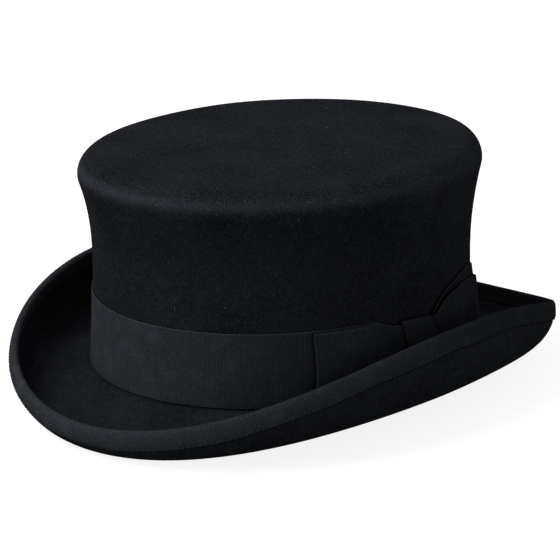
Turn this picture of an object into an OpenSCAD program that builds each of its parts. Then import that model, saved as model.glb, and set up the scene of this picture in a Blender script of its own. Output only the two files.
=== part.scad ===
// Black wool-felt top hat. One blocked piece of felt makes the bell crown and the rolled brim.
// A folded ribbon binds the brim's edge, a ribbon band with a bow on the wearer's left goes
// round the foot of the crown, and a reeded leather sweatband and a satin lining sit inside.
// +Z is up, the front of the hat faces -Y and the bow is on +X. The origin is the centre of
// the head opening, level with the break, the line where the crown turns into the brim.

/* [Crown] */
// Length of the crown over the felt, front to back at the break
crown_len = 206; // [170:1:240]
// Width of the crown over the felt, side to side at the break
crown_wid = 175; // [145:1:210]
// Height of the crown, from the break to the tip
crown_h = 104; // [85:0.5:160]
// Height of the waist, the narrowest place of the bell
waist_h = 54; // [44:1:66]
// How far the waist is drawn in from the break, at the front
waist_front = 1.9; // [0:0.1:5]
// How far the waist is drawn in from the break, at the back
waist_back = 0.9; // [0:0.1:6]
// How far the bell flares out above the waist, at the front
flare_front = 7.6; // [0:0.1:14]
// How far the bell flares out above the waist, at the back
flare_back = 5; // [0:0.1:12]
// How far the bell flares out above the waist, at the sides
flare_side = 4; // [0:0.1:12]
// Height of the rounded edge between the side and the flat tip
tip_edge_h = 12; // [7:0.5:14]
// Thickness of the stiffened felt
felt_t = 2.6; // [1.6:0.1:3.4]
// Radius of the break
break_r = 1.2; // [0.8:0.1:2]

/* [Brim] */
// Width of the brim along its curve, at the front
brim_front = 55.3; // [44:0.1:72]
// Width of the brim along its curve, at the sides
brim_side = 56.9; // [44:0.1:72]
// Width of the brim along its curve, at the back
brim_back = 60; // [44:0.1:72]
// Slope of the brim as it leaves the crown, at the front, in degrees
slope_front = -25.7; // [-35:0.1:0]
// Slope of the brim as it leaves the crown, at the sides
slope_side = -7.6; // [-20:0.1:8]
// Slope of the brim as it leaves the crown, at the back
slope_back = -21.8; // [-35:0.1:0]
// Outer radius of the rolled edge, at the front
roll_r_front = 11.1; // [9:0.1:24]
// Outer radius of the rolled edge, at the sides
roll_r_side = 22.8; // [9:0.1:28]
// Outer radius of the rolled edge, at the back
roll_r_back = 14; // [9:0.1:24]
// Angle that the rolled edge turns through, at the front, in degrees
roll_turn_front = 131; // [90:0.1:150]
// Angle that the rolled edge turns through, at the sides
roll_turn_side = 134.3; // [90:0.1:150]
// Angle that the rolled edge turns through, at the back
roll_turn_back = 102.6; // [90:0.1:150]
// How fast the front and back shapes give way to the side shape
brim_blend = 2.2; // [1.8:0.1:3]

/* [Ribbons] */
// Width of the hat band
band_w = 35.8; // [24:0.1:42]
// Thickness of the ribbons
ribbon_t = 0.55; // [0.3:0.05:0.8]
// Width of the binding on each face of the brim
bind_w = 7.6; // [6:0.1:13]

/* [Bow] */
// Width of the ribbon that ties the knot
knot_w = 22; // [16:0.5:32]
// How far the knot draws in each edge of the band and bow
knot_pinch = 5.3; // [2:0.1:8]
// Length over which the ribbon opens out beside the knot
gather_len = 11; // [6:0.5:18]
// How far behind the middle of the hat's side the knot lies, less than 0 ahead of it
knot_at = -2.5; // [-8:0.5:8]
// How far the knot leans backwards, for each millimetre down
knot_lean = 0.4; // [-0.5:0.05:0.5]
// How far the knot's face swells out
knot_swell = 0.9; // [0:0.1:2]
// Length of the front loop from the knot's centre
front_loop_len = 61.8; // [45:0.1:75]
// How far the front loop lies below the band's upper edge
front_drop = 0.8; // [0:0.1:1]
// Radius of the front loop's fold
front_fold_r = 1; // [0.8:0.1:3]
// How far the front loop puffs out
front_puff = 1.2; // [0.2:0.1:5]
// Length of the rear loop from the knot's centre
rear_loop_len = 65; // [45:0.5:75]
// Radius of the rear loop's fold
rear_fold_r = 1.9; // [0.8:0.1:3]
// How far the rear loop puffs out
rear_puff = 1.2; // [0.2:0.1:5]
// How far the rear loop's hidden layer stands above the band at the fold
rear_rise = 6.5; // [0:0.1:8]
// How far that layer arches on its way there
rear_arch_in = 4.6; // [0:0.1:12]
// How far the rear loop's face arches above the band
rear_arch_out = 3.4; // [0:0.1:8]
// How deep the dent in the rear loop's face is
rear_dent = 1.3; // [0:0.1:2]

/* [Sweatband] */
// Width of the leather sweatband
sweat_w = 38; // [28:0.5:50]
// Thickness of the leather
sweat_t = 1; // [0.6:0.1:1.6]
// Diameter of the plastic reed in the sweatband's lower edge
reed_d = 1.8; // [1.2:0.1:2.4]
// Thickness of the woven welt that wraps the reed
welt_t = 0.4; // [0.2:0.05:0.6]
// Height of the welt's flange behind the leather
welt_flange = 6; // [4:0.5:9]
// Width of the tape behind the sweatband's joint
tape_w = 14; // [8:0.5:20]
// Thickness of that tape
tape_t = 0.25; // [0.15:0.05:0.4]
// Gap left between the sweatband's two ends
joint_gap = 0.5; // [0.2:0.1:1.5]
// Width of the small bow at the sweatband's joint
small_bow_len = 30; // [18:1:40]
// Width of that bow's ribbon
small_bow_w = 10; // [6:0.5:14]
// How far that bow's loops puff out
small_bow_puff = 1.6; // [0.5:0.1:3]

/* [Lining] */
// Thickness of the satin lining
lining_t = 0.35; // [0.2:0.05:0.6]
// Height of the lining's lower edge, behind the sweatband
lining_foot = 12; // [9:0.5:20]

/* [Fits] */
// Clearance between two layers that lie on each other
lay_gap = 0.15; // [0.1:0.05:0.2]

/* [Hidden] */

// Stations round the hat, and steps along each stretch of its outline
stations = 56;
tip_steps = 4;
side_steps = 6;
break_steps = 3;
roll_steps = 6;
bind_steps = 2;
edge_steps = 4;
gather_steps = 3;
lean_steps = 3;
loop_steps = 5;
fold_steps = 5;
corner_steps = 3;
face_steps = 4;
knot_steps = 4;
welt_steps = 4;
reed_sides = 6;
small_bow_steps = 5;
small_fold_steps = 3;

// Angles round the hat: 0 at the front, bow_at on the wearer's left, back_at behind
bow_at = 90;
back_at = 180;
full_turn = 360;
station_step = full_turn / stations;
all_round = [for (j = [0 : stations - 1]) j * station_step];

side_top = crown_h - tip_edge_h;
bow_mm_per_deg = crown_len * PI / full_turn;
back_mm_per_deg = crown_wid * PI / full_turn;
band_foot = break_r;
knot_z = band_foot + band_w / 2;
knot_lift = ribbon_t + lay_gap;
// Radius of the knot's corners, as a share of the stack of ribbon inside it
knot_corner = 0.4;
// Least straight width left between the break and the rolled edge
min_flat = 2;
// Least step between two neighbouring stations
min_step = 1;
// Place and half length of the rear loop's dent, as shares of the loop
dent_at = 0.57;
dent_len = 0.22;
// How much nearer to the knot than its middle the rear loop puffs out most
rear_skew = 0.6;
// Length over which the knot's lean fades out along the ribbon
lean_len = 28;

// Layers inside the crown, as depths below the outer face of the felt
lining_out = felt_t + lay_gap;
lining_in = lining_out + lining_t;
tape_out = lining_in + 2 * lay_gap;
tape_in = tape_out + tape_t;
sweat_out = max(tape_in, lining_out + welt_t) + lay_gap;
sweat_in = sweat_out + sweat_t;
welt_open = 125;
welt_step = (full_turn - welt_open) / welt_steps;
welt_r = (reed_d / 2 + lay_gap) / cos(welt_step / 2) + welt_t / 2;
reed_z = -0.4;
welt_top = reed_z + welt_r + welt_flange;
sweat_foot = reed_z + welt_r + welt_t / 2 + lay_gap;
small_bow_z = sweat_foot + sweat_w / 3;
// How far the small bow's ribbon is drawn in at its middle
small_bow_pinch = 0.55;

felt_color = [0.075, 0.075, 0.085];
ribbon_color = [0.11, 0.11, 0.12];
leather_color = [0.16, 0.12, 0.09];
lining_color = [0.13, 0.13, 0.15];
reed_color = [0.75, 0.74, 0.7];
tape_color = [0.2, 0.2, 0.2];

function sq(x) = x * x;
function clamp01(x) = max(0, min(1, x));
function smooth(x) = let (c = clamp01(x)) sq(c) * (3 - 2 * c);
function bump(x) = abs(x) < 1 ? sq(1 - sq(x)) : 0;
function ray(a) = [cos(a), sin(a)];
function mix(a, b, share) = a + (b - a) * share;
function reversed(list) = [for (i = [len(list) - 1 : -1 : 0]) list[i]];

// A value that changes round the hat from its front to its side to its back
function round_hat(front, side, back, phi) =
    side + (cos(phi) > 0 ? front - side : back - side) * pow(abs(cos(phi)), brim_blend);

// A point at angle phi, out from the break's oval by p.x and at height p.y
function place(phi, p) =
    let (a = crown_len / 2, b = crown_wid / 2)
    let (n = [a * sin(phi), -b * cos(phi)] / norm([a * sin(phi), -b * cos(phi)]))
    [b * sin(phi) + n.x * p.x, -a * cos(phi) + n.y * p.x, p.y];

// The crown's side: how far it stands out from the break's oval, and its slope
function flare(phi) =
    flare_side * sq(sin(phi)) + (cos(phi) > 0 ? flare_front : flare_back) * sq(cos(phi));
function waist_in(phi) = mix(waist_back, waist_front, (1 + cos(phi)) / 2);
function side_out(phi, z) =
    z > waist_h ? flare(phi) * sq((z - waist_h) / (side_top - waist_h)) - waist_in(phi)
                : waist_in(phi) * (sq((waist_h - z) / waist_h) - 1);
function side_slope(phi, z) =
    z > waist_h ? 2 * flare(phi) * (z - waist_h) / sq(side_top - waist_h)
                : -2 * waist_in(phi) * (waist_h - z) / sq(waist_h);
function side_normal(phi, z) = -atan(side_slope(phi, z));
function on_side(phi, z, out) = place(phi, [side_out(phi, z) + out, z]);

// The outer outline at angle phi, as [out, height, direction of the surface's normal]
function tip_r(phi) = tip_edge_h / (1 - sin(side_normal(phi, side_top)));
function tip_centre(phi) =
    [side_out(phi, side_top) - tip_r(phi) * cos(side_normal(phi, side_top)), crown_h - tip_r(phi)];
function tip_point(phi, a) = let (p = tip_centre(phi) + tip_r(phi) * ray(a)) [p.x, p.y, a];
function tip_run(phi) =
    [for (i = [0 : tip_steps - 1]) tip_point(phi, mix(90, side_normal(phi, side_top), i / tip_steps))];
side_heights = [for (i = [0 : side_steps]) mix(side_top, break_r, i / side_steps)];
function side_point(phi, z) = [side_out(phi, z), z, side_normal(phi, z)];
// The side down to a foot, at the same heights whatever the foot, so that layers stay parallel
function side_run(phi, foot) =
    [for (z = concat([for (h = side_heights) if (h > foot + min_step) h], [foot])) side_point(phi, z)];

function slope(phi) = round_hat(slope_front, slope_side, slope_back, phi);
function turn(phi) = round_hat(roll_turn_front, roll_turn_side, roll_turn_back, phi);
function brim_w(phi) = round_hat(brim_front, brim_side, brim_back, phi);
function wanted_r(phi) = round_hat(roll_r_front, roll_r_side, roll_r_back, phi);
function flat_len(phi) = max(min_flat, brim_w(phi) - wanted_r(phi) * turn(phi) * PI / 180);
function roll_r(phi) = (brim_w(phi) - flat_len(phi)) * 180 / (PI * turn(phi));

function break_centre(phi) =
    [side_out(phi, break_r), break_r] + break_r * ray(side_normal(phi, break_r));
function break_point(phi, a) = let (p = break_centre(phi) - break_r * ray(a)) [p.x, p.y, a];
function break_run(phi) =
    let (from = side_normal(phi, break_r), to = 90 + slope(phi))
    [for (i = [1 : break_steps]) break_point(phi, mix(from, to, i / break_steps))];

function roll_centre(phi) =
    let (a = 90 + slope(phi))
    break_centre(phi) - break_r * ray(a) + flat_len(phi) * ray(a - 90) + (roll_r(phi) - felt_t) * ray(a);
function roll_point(phi, a) = let (p = roll_centre(phi) - (roll_r(phi) - felt_t) * ray(a)) [p.x, p.y, a];
function roll_end(phi) = 90 + slope(phi) + turn(phi);
function bind_start(phi) = roll_end(phi) - bind_w / roll_r(phi) * 180 / PI;
function bare_roll(phi) =
    [for (i = [0 : roll_steps - 1]) roll_point(phi, mix(90 + slope(phi), bind_start(phi), i / roll_steps))];
function bound_roll(phi) =
    [for (i = [0 : bind_steps]) roll_point(phi, mix(bind_start(phi), roll_end(phi), i / bind_steps))];

function outline(phi) = concat(tip_run(phi), side_run(phi, break_r), break_run(phi),
                               bare_roll(phi), bound_roll(phi));

// A run of outline points moved in by a depth, as points in space
function sunk(phi, run, depth) = [for (p = run) place(phi, [p.x, p.y] - depth * ray(p[2]))];

// A point on the rounded edge of the brim, at a height over the felt's half-round end
function edge_point(phi, over, a) =
    let (n = roll_end(phi), middle = roll_centre(phi) - (roll_r(phi) - felt_t / 2) * ray(n))
    place(phi, middle + (felt_t / 2 + over) * (cos(a) * ray(n) + sin(a) * ray(n - 90)));

// A sheet between two faces, each a list of stations of points from the top edge to the foot.
// looped joins the last station to the first, and capped closes the top edges with flat tips.
// Each face is split along the same diagonals, which turn at the row where the sheet is folded,
// so sheets that lie on each other stay parallel.
module sheet(face, back, looped, capped = false, folded_at = undef) {
    n = len(face);
    m = len(face[0]);
    spans = looped ? n : n - 1;
    function f(j, k) = (j % n) * m + k;
    function b(j, k) = n * m + f(j, k);
    function past_fold(k) = !is_undef(folded_at) && k >= folded_at;
    function split(q, turned) = turned ? [[q[0], q[1], q[3]], [q[1], q[2], q[3]]]
                                       : [[q[0], q[1], q[2]], [q[0], q[2], q[3]]];
    walls = [
        for (j = [0 : spans - 1], k = [0 : m - 2]) each concat(
            split([f(j, k), f(j + 1, k), f(j + 1, k + 1), f(j, k + 1)], past_fold(k)),
            split([b(j, k), b(j, k + 1), b(j + 1, k + 1), b(j + 1, k)], past_fold(k)))
    ];
    edges = [
        for (j = [0 : spans - 1]) each concat(
            split([f(j, m - 1), f(j + 1, m - 1), b(j + 1, m - 1), b(j, m - 1)], false),
            capped ? [] : split([b(j, 0), b(j + 1, 0), f(j + 1, 0), f(j, 0)], false))
    ];
    ends = looped ? [] : [
        for (k = [0 : m - 2]) each concat(
            split([f(0, k), f(0, k + 1), b(0, k + 1), b(0, k)], false),
            split([f(n - 1, k + 1), f(n - 1, k), b(n - 1, k), b(n - 1, k + 1)], false))
    ];
    tips = capped ? [[for (j = [n - 1 : -1 : 0]) f(j, 0)], [for (j = [0 : n - 1]) b(j, 0)]] : [];
    points = concat([for (s = face) each s], [for (s = back) each s]);
    polyhedron(points, concat(walls, edges, ends, tips));
}

// Stations of an open ring that starts and ends beside one angle, half a gap away
function open_round(at, half_gap) = concat(
    [at + half_gap],
    [for (j = [1 : stations - 1]) at + j * station_step],
    [at + full_turn - half_gap]);
back_round = open_round(back_at, joint_gap / 2 / back_mm_per_deg);

// A strip along the inside of the crown's side, between two depths below its outer face
module strip(angles, heights, outer, inner) {
    function wall(phi, depth) = [for (z = heights) on_side(phi, z, -depth)];
    sheet([for (phi = angles) wall(phi, outer)], [for (phi = angles) wall(phi, inner)], false);
}

// How strongly the knot holds the ribbon at a distance s along the band from its centre
function gather(s) = 1 - smooth((abs(s) - knot_w / 2) / gather_len);
function half_w(s) = band_w / 2 - knot_pinch * gather(s);
function band_lift(s) = lay_gap + knot_lift * gather(s);
function leaning(s) = knot_lean * (1 - smooth((abs(s) - knot_w / 2) / lean_len));
function on_bow(s, d, z) =
    on_side(bow_at + (knot_at + s - leaning(s) * (z - knot_z)) / bow_mm_per_deg, z, d);

// The felt body: crown, break and rolled brim in one piece, with a half-round edge
module felt_body() {
    corner = 180 / edge_steps;
    function wall(phi, depth, a) = concat(sunk(phi, outline(phi), depth), [edge_point(phi, 0, a)]);
    face = [for (phi = all_round) wall(phi, 0, corner)];
    back = [for (phi = all_round) wall(phi, felt_t, 180 - corner)];
    color(felt_color) sheet(face, back, true, true);
}

// The binding: a ribbon folded over the brim's edge, the same width on both faces
module brim_binding() {
    function fold(phi, over) = [for (i = [1 : edge_steps - 1]) edge_point(phi, over, 180 * i / edge_steps)];
    function leg(phi, depth) = sunk(phi, bound_roll(phi), depth);
    function wrap(phi, over) = concat(leg(phi, -over), fold(phi, over), reversed(leg(phi, felt_t + over)));
    face = [for (phi = all_round) wrap(phi, lay_gap + ribbon_t)];
    back = [for (phi = all_round) wrap(phi, lay_gap)];
    color(ribbon_color) sheet(face, back, true, folded_at = bind_steps + edge_steps / 2);
}

// Stations of a ribbon near the knot, as distances from its centre: where it is held, then opens
knot_run = concat(
    [joint_gap / 2, knot_w / 4, knot_w / 2],
    [for (i = [1 : gather_steps]) knot_w / 2 + gather_len * i / gather_steps]);
gather_end = knot_run[len(knot_run) - 1];

// The hat band: its ends meet under the knot, which draws it in and lifts it off the felt
module hat_band() {
    lean_end = knot_w / 2 + lean_len;
    near = concat(knot_run, [for (i = [1 : lean_steps]) mix(gather_end, lean_end, i / lean_steps)]);
    function from_bow(phi) = phi > full_turn / 2 ? phi - full_turn : phi;
    far = [for (phi = all_round) from_bow(phi) * bow_mm_per_deg - knot_at];
    run = concat(near, [for (s = far) if (abs(s) > lean_end + min_step) s], [for (s = reversed(near)) -s]);
    function wall(s, lift) = [for (up = [1, 0, -1]) on_bow(s, lift, knot_z + up * half_w(s))];
    face = [for (s = run) wall(s, band_lift(s) + ribbon_t)];
    back = [for (s = run) wall(s, band_lift(s))];
    color(ribbon_color) sheet(face, back, false);
}

// A ribbon on edge that follows stations of [along, out, middle height, half width]
module ribbon(path, t, at) {
    n = len(path);
    function flat(i) = [path[i].x, path[i].y];
    function across(i) =
        let (d = flat(min(i + 1, n - 1)) - flat(max(i - 1, 0)))
        [-d.y, d.x] / norm(d);
    function wall(i, side) =
        let (p = flat(i) + side * t / 2 * across(i))
        [for (up = [1, 0, -1]) at(p.x, p.y, path[i][2] + up * path[i][3])];
    sheet([for (i = [0 : n - 1]) wall(i, 1)], [for (i = [0 : n - 1]) wall(i, -1)], false);
}

// The bow: one ribbon that runs out and back in each loop, with its ends under the knot
module bow_ribbon() {
    near = knot_w / 2;
    thin = ribbon_t + lay_gap;
    function inner_out(s) = band_lift(s) + ribbon_t + lay_gap + ribbon_t / 2;
    function share(s, length) = clamp01((abs(s) - near) / (length - near));
    function apart(x, r, puff, skew, dent) =
        mix(thin, 2 * r, smooth(x)) + puff * sin(180 * pow(x, skew)) - dent * bump((x - dent_at) / dent_len);
    function height(x, rise, arch) = knot_z + rise * smooth(x) + arch * sin(180 * x);
    function run(end) = concat(knot_run, [for (i = [1 : loop_steps]) mix(gather_end, end, i / loop_steps)]);
    function layer(dir, length, r, puff, skew, dent, rise, arch, lift) = [
        for (s = run(length - r))
            let (x = share(s, length - r))
            [dir * s, inner_out(s) + lift * apart(x, r, puff, skew, dent), height(x, rise, arch), half_w(s)]];
    function fold(dir, length, r, rise_in, rise_out) = [
        for (i = [1 : fold_steps])
            let (x = i / (fold_steps + 1), p = [length - r, inner_out(length) + r] + r * ray(-90 + 180 * x))
            [dir * p.x, p.y, knot_z + mix(rise_in, rise_out, smooth(x)), half_w(length)]];
    front_in = layer(-1, front_loop_len, front_fold_r, front_puff, 1, 0, -front_drop, 0, 0);
    front_out = layer(-1, front_loop_len, front_fold_r, front_puff, 1, 0, -front_drop, 0, 1);
    rear_in = layer(1, rear_loop_len, rear_fold_r, rear_puff, rear_skew, rear_dent, rear_rise, rear_arch_in, 0);
    rear_out = layer(1, rear_loop_len, rear_fold_r, rear_puff, rear_skew, rear_dent, 0, rear_arch_out, 1);
    path = concat(front_in, fold(-1, front_loop_len, front_fold_r, -front_drop, -front_drop),
                  reversed(front_out), rear_out,
                  reversed(fold(1, rear_loop_len, rear_fold_r, rear_rise, 0)), reversed(rear_in));
    color(ribbon_color) ribbon(path, ribbon_t, function (s, d, z) on_bow(s, d, z));
}

// The knot: a ribbon wrapped once round the bow and the band, with its back against the felt
module bow_knot() {
    nearest = lay_gap + ribbon_t;
    farthest = band_lift(0) + 3 * (ribbon_t + lay_gap);
    corner = knot_corner * (farthest - nearest);
    flat_half = half_w(0);
    // The ring's four rounded corners, clockwise from the top of the face, grown by a thickness
    function ring(grow) = [
        for (q = [0 : 3], i = [0 : corner_steps])
            let (a = 90 - 90 * (q + i / corner_steps))
            [(q < 2 ? farthest - corner : nearest + corner) + (corner + grow) * cos(a),
             (q == 0 || q == 3 ? flat_half : -flat_half) + (corner + grow) * sin(a)]];
    // Face and back run from one corner's end to the next corner, and the face swells at half height
    function run(r, i) = [for (k = [1 : face_steps - 1]) mix(r[i], r[i + 1], k / face_steps)];
    function is_long(i) = i == corner_steps || i == 3 * corner_steps + 2;
    function with_runs(r) = [
        for (i = [0 : len(r) - 1]) each concat([r[i]], is_long(i) ? run(r, i) : [])];
    function swell(p) = p.x > farthest - corner ? knot_swell * bump(p.y / (flat_half + corner)) : 0;
    function wrap(grow) = [
        for (p = with_runs(ring(grow)))
            [for (k = [0 : knot_steps])
                let (s = knot_w * (1 / 2 - k / knot_steps))
                on_bow(s, p.x + swell(p), knot_z + p.y)]];
    color(ribbon_color) sheet(wrap(ribbon_t), wrap(0), true);
}

// The leather sweatband: a strip round the head opening that butts at the back
module sweatband() {
    heights = [for (i = [2 : -1 : 0]) sweat_foot + sweat_w * i / 2];
    color(leather_color) strip(back_round, heights, sweat_out, sweat_in);
}

// The middle of the reed at angle phi, in the fold of the welt
function reed_middle(phi) = [side_out(phi, break_r) - lining_out - welt_t / 2 - welt_r, reed_z];

// The welt: a woven tape folded round the reed, with a flange that is sewn behind the leather
module sweatband_welt() {
    function wall(phi, depth, r) = concat(
        [on_side(phi, welt_top, -depth)],
        [for (i = [0 : welt_steps]) place(phi, reed_middle(phi) + r * ray(-i * welt_step))]);
    face = [for (phi = back_round) wall(phi, lining_out, welt_r + welt_t / 2)];
    back = [for (phi = back_round) wall(phi, lining_out + welt_t, welt_r - welt_t / 2)];
    color(tape_color) sheet(face, back, false);
}

// The reed: a thin plastic rod that keeps the head opening's oval
module sweatband_reed() {
    n = len(back_round);
    points = [for (phi = back_round, i = [0 : reed_sides - 1])
        place(phi, reed_middle(phi) + reed_d / 2 * ray(90 - full_turn * i / reed_sides))];
    function p(j, i) = j * reed_sides + i % reed_sides;
    sides = [for (j = [0 : n - 2], i = [0 : reed_sides - 1]) each [
        [p(j, i), p(j + 1, i), p(j + 1, i + 1)],
        [p(j, i), p(j + 1, i + 1), p(j, i + 1)]]];
    caps = [[for (i = [0 : reed_sides - 1]) p(0, i)], [for (i = [reed_sides - 1 : -1 : 0]) p(n - 1, i)]];
    color(reed_color) polyhedron(points, concat(sides, caps));
}

// The tape behind the sweatband's joint, above the welt
module sweatband_joint_tape() {
    foot = welt_top + 2 * lay_gap;
    top = sweat_foot + sweat_w - ribbon_t;
    angles = [for (i = [-1 : 1]) back_at + i * tape_w / 2 / back_mm_per_deg];
    color(tape_color) strip(angles, [top, (top + foot) / 2, foot], tape_out, tape_in);
}

// The small bow that marks the back: a flat loop of ribbon, drawn in at its middle
module sweatband_bow() {
    half = small_bow_len / 2;
    t = ribbon_t / 2;
    laid_on = sweat_in + 3 * lay_gap;
    function apart(s) = t + lay_gap + small_bow_puff * sq(sin(90 * clamp01(abs(s) / half)));
    function half_height(s) = small_bow_w / 2 * mix(small_bow_pinch, 1, smooth(abs(s) / half * 2));
    function row(s, far) = [s, t / 2 + (far ? apart(s) : 0), small_bow_z, half_height(s)];
    function run(from, to, far, steps) = [for (i = [0 : steps]) row(mix(from, to, i / steps), far)];
    r = apart(half) / 2;
    function fold(dir) = [for (i = [1 : small_fold_steps])
        let (a = -90 + 180 * i / (small_fold_steps + 1))
        [dir * (half + r * cos(a)), t / 2 + r + r * sin(a), small_bow_z, half_height(half)]];
    path = concat(run(-lay_gap, -half, false, small_bow_steps), fold(-1),
                  run(-half, half, true, 2 * small_bow_steps), reversed(fold(1)),
                  run(half, lay_gap, false, small_bow_steps));
    color(ribbon_color)
        ribbon(path, t, function (s, d, z) on_side(back_at - s / back_mm_per_deg, z, -laid_on - d));
}

// The lining's side: satin against the felt, from behind the sweatband up round the tip's edge
module lining_side() {
    function wall(phi, depth) = sunk(phi, concat(tip_run(phi), side_run(phi, lining_foot)), depth);
    face = [for (phi = all_round) wall(phi, lining_out)];
    back = [for (phi = all_round) wall(phi, lining_in)];
    color(lining_color) sheet(face, back, true);
}

// The lining's tip: a flat oval of satin under the tip of the crown
module lining_tip() {
    rim = [for (phi = all_round) place(phi, [tip_centre(phi).x - lay_gap, 0])];
    color(lining_color)
        translate([0, 0, crown_h - lining_in])
            linear_extrude(lining_t)
                polygon([for (p = rim) [p.x, p.y]]);
}

felt_body();
brim_binding();
hat_band();
bow_ribbon();
bow_knot();
sweatband();
sweatband_welt();
sweatband_reed();
sweatband_joint_tape();
sweatband_bow();
lining_side();
lining_tip();
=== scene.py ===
# %% [markdown]
# # A black felt top hat
# This lesson dresses a imported model of a low top hat. The imported model is the frame: it fixes every
# size and place, and the pieces made here lie where its solids lie, with the finer shapes that cloth
# has. The frame comes first, and its box is kept.

# %% Load the frame
import math

import bpy
import numpy as np
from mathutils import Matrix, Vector


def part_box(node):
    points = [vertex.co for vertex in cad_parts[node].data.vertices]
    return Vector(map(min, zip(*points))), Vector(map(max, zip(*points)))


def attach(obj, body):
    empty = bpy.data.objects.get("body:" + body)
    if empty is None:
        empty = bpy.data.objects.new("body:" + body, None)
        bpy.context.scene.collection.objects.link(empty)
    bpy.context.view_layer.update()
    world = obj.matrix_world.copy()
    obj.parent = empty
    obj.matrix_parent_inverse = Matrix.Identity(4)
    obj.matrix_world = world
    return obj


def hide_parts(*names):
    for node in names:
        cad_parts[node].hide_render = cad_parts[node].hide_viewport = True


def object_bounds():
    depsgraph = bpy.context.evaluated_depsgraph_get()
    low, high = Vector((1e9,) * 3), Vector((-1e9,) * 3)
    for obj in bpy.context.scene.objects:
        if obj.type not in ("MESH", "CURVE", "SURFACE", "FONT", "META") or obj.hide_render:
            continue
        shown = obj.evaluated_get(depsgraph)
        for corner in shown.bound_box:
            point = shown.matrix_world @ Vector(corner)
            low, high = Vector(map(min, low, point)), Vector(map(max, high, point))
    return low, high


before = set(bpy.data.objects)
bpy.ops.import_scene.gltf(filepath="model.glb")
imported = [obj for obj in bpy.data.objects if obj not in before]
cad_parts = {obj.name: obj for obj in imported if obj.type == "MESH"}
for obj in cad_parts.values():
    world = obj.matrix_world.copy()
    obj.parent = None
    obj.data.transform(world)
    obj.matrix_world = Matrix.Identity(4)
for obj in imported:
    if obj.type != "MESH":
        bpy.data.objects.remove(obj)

cad_low, cad_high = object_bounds()
print("frame:", sorted(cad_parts), "box", tuple(cad_high - cad_low))

# %% [markdown]
# ## Sizes of the hat
# A hatter works from a block: an oval, a height, a bell and the run of the brim. The same few sizes
# drive every piece here. They are in millimetres. The heights of the crown and the band are read from
# the frame, and the others repeat the solids' own sizes, so that each piece lies where its solid lies.

# %% Sizes
MM = 0.001
CROWN_LEN = 206.0
CROWN_WID = 175.0
CROWN_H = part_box("felt_body")[1].z / MM
WAIST_H = 54.0
WAIST_FRONT = 1.9
WAIST_BACK = 0.9
FLARE_FRONT = 7.6
FLARE_SIDE = 4.0
FLARE_BACK = 5.0
TIP_EDGE_H = 12.0
FELT_T = 2.6
BREAK_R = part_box("hat_band")[0].z / MM
SIDE_TOP = CROWN_H - TIP_EDGE_H

# The brim at the front, the sides and the back
BRIM_W = (55.3, 56.9, 60.0)
BRIM_SLOPE = np.radians((-25.7, -7.6, -21.8))
ROLL_R = (11.1, 22.8, 14.0)
ROLL_TURN = np.radians((131.0, 134.3, 102.6))
BRIM_BLEND = 2.2
MIN_FLAT = 2.0

RIBBON_T = 0.55
LAY_GAP = 0.15
BIND_W = 7.6
BAND_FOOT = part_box("hat_band")[0].z / MM
BAND_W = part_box("hat_band")[1].z / MM - BAND_FOOT
BAND_MID = BAND_FOOT + BAND_W / 2

BOW_AT = math.pi / 2
BACK_AT = math.pi
FULL = 2 * math.pi
UP = math.pi / 2
print("crown height", round(CROWN_H, 2), "band", round(BAND_FOOT, 2), "to", round(BAND_FOOT + BAND_W, 2))

# %% [markdown]
# ## The hat's outline
# Every cut through the crown's middle has the same kind of outline: a flat tip, a rounded edge, a side
# drawn in at the waist, a small break, a sloping brim and a rolled edge. Only the sizes change round
# the hat. A loft of such outlines could be modelled by hand with a subdivided cage, but a formula
# keeps felt, ribbon and lining parallel, so each stretch of the outline is one short function here.
# Each gives how far out it lies, its height, and the direction that its surface faces.

# %% Blending helpers


def clamp01(x):
    """x, kept between 0 and 1."""
    return np.clip(x, 0, 1)


def smooth(x):
    """A soft step: 0 up to 0, 1 from 1 on, and an S-shaped rise between."""
    c = clamp01(x)
    return c * c * (3 - 2 * c)


def bump(x):
    """A soft hump: 1 in the middle, and 0 from 1 away on."""
    return np.where(np.abs(x) < 1, (1 - x * x) ** 2, 0)


def mix(a, b, share):
    """What lies at a share of the way from a to b."""
    return a + (b - a) * share


def round_hat(sizes, phi):
    """A size at angle phi, from its values at the front, the sides and the back."""
    front, side, back = sizes
    c = np.cos(phi)
    return side + np.where(c > 0, front - side, back - side) * np.abs(c) ** BRIM_BLEND


print("a soft step, a quarter of the way along:", smooth(0.25))

# %% The crown's outline


def place(phi, out, z):
    """Points at angle phi, that far out from the oval of the break, at height z."""
    a, b = CROWN_LEN / 2, CROWN_WID / 2
    nx, ny = a * np.sin(phi), -b * np.cos(phi)
    n = np.hypot(nx, ny)
    x, y = b * np.sin(phi) + nx / n * out, -a * np.cos(phi) + ny / n * out
    return np.stack(np.broadcast_arrays(x, y, z), -1)


def side_out(phi, z):
    """How far the crown's side stands out from the oval, and the direction that it faces."""
    c = np.cos(phi)
    flare = FLARE_SIDE * np.sin(phi) ** 2 + np.where(c > 0, FLARE_FRONT, FLARE_BACK) * c**2
    waist = mix(WAIST_BACK, WAIST_FRONT, (1 + c) / 2)
    above, below = (z - WAIST_H) / (SIDE_TOP - WAIST_H), (WAIST_H - z) / WAIST_H
    out = np.where(z > WAIST_H, flare * above**2 - waist, waist * (below**2 - 1))
    lean = np.where(z > WAIST_H, 2 * flare * above / (SIDE_TOP - WAIST_H), -2 * waist * below / WAIST_H)
    return out, -np.arctan(lean)


def on_side(phi, z, out):
    """Points on the crown's side, lifted outwards by out."""
    return place(phi, side_out(phi, z)[0] + out, z)


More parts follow.
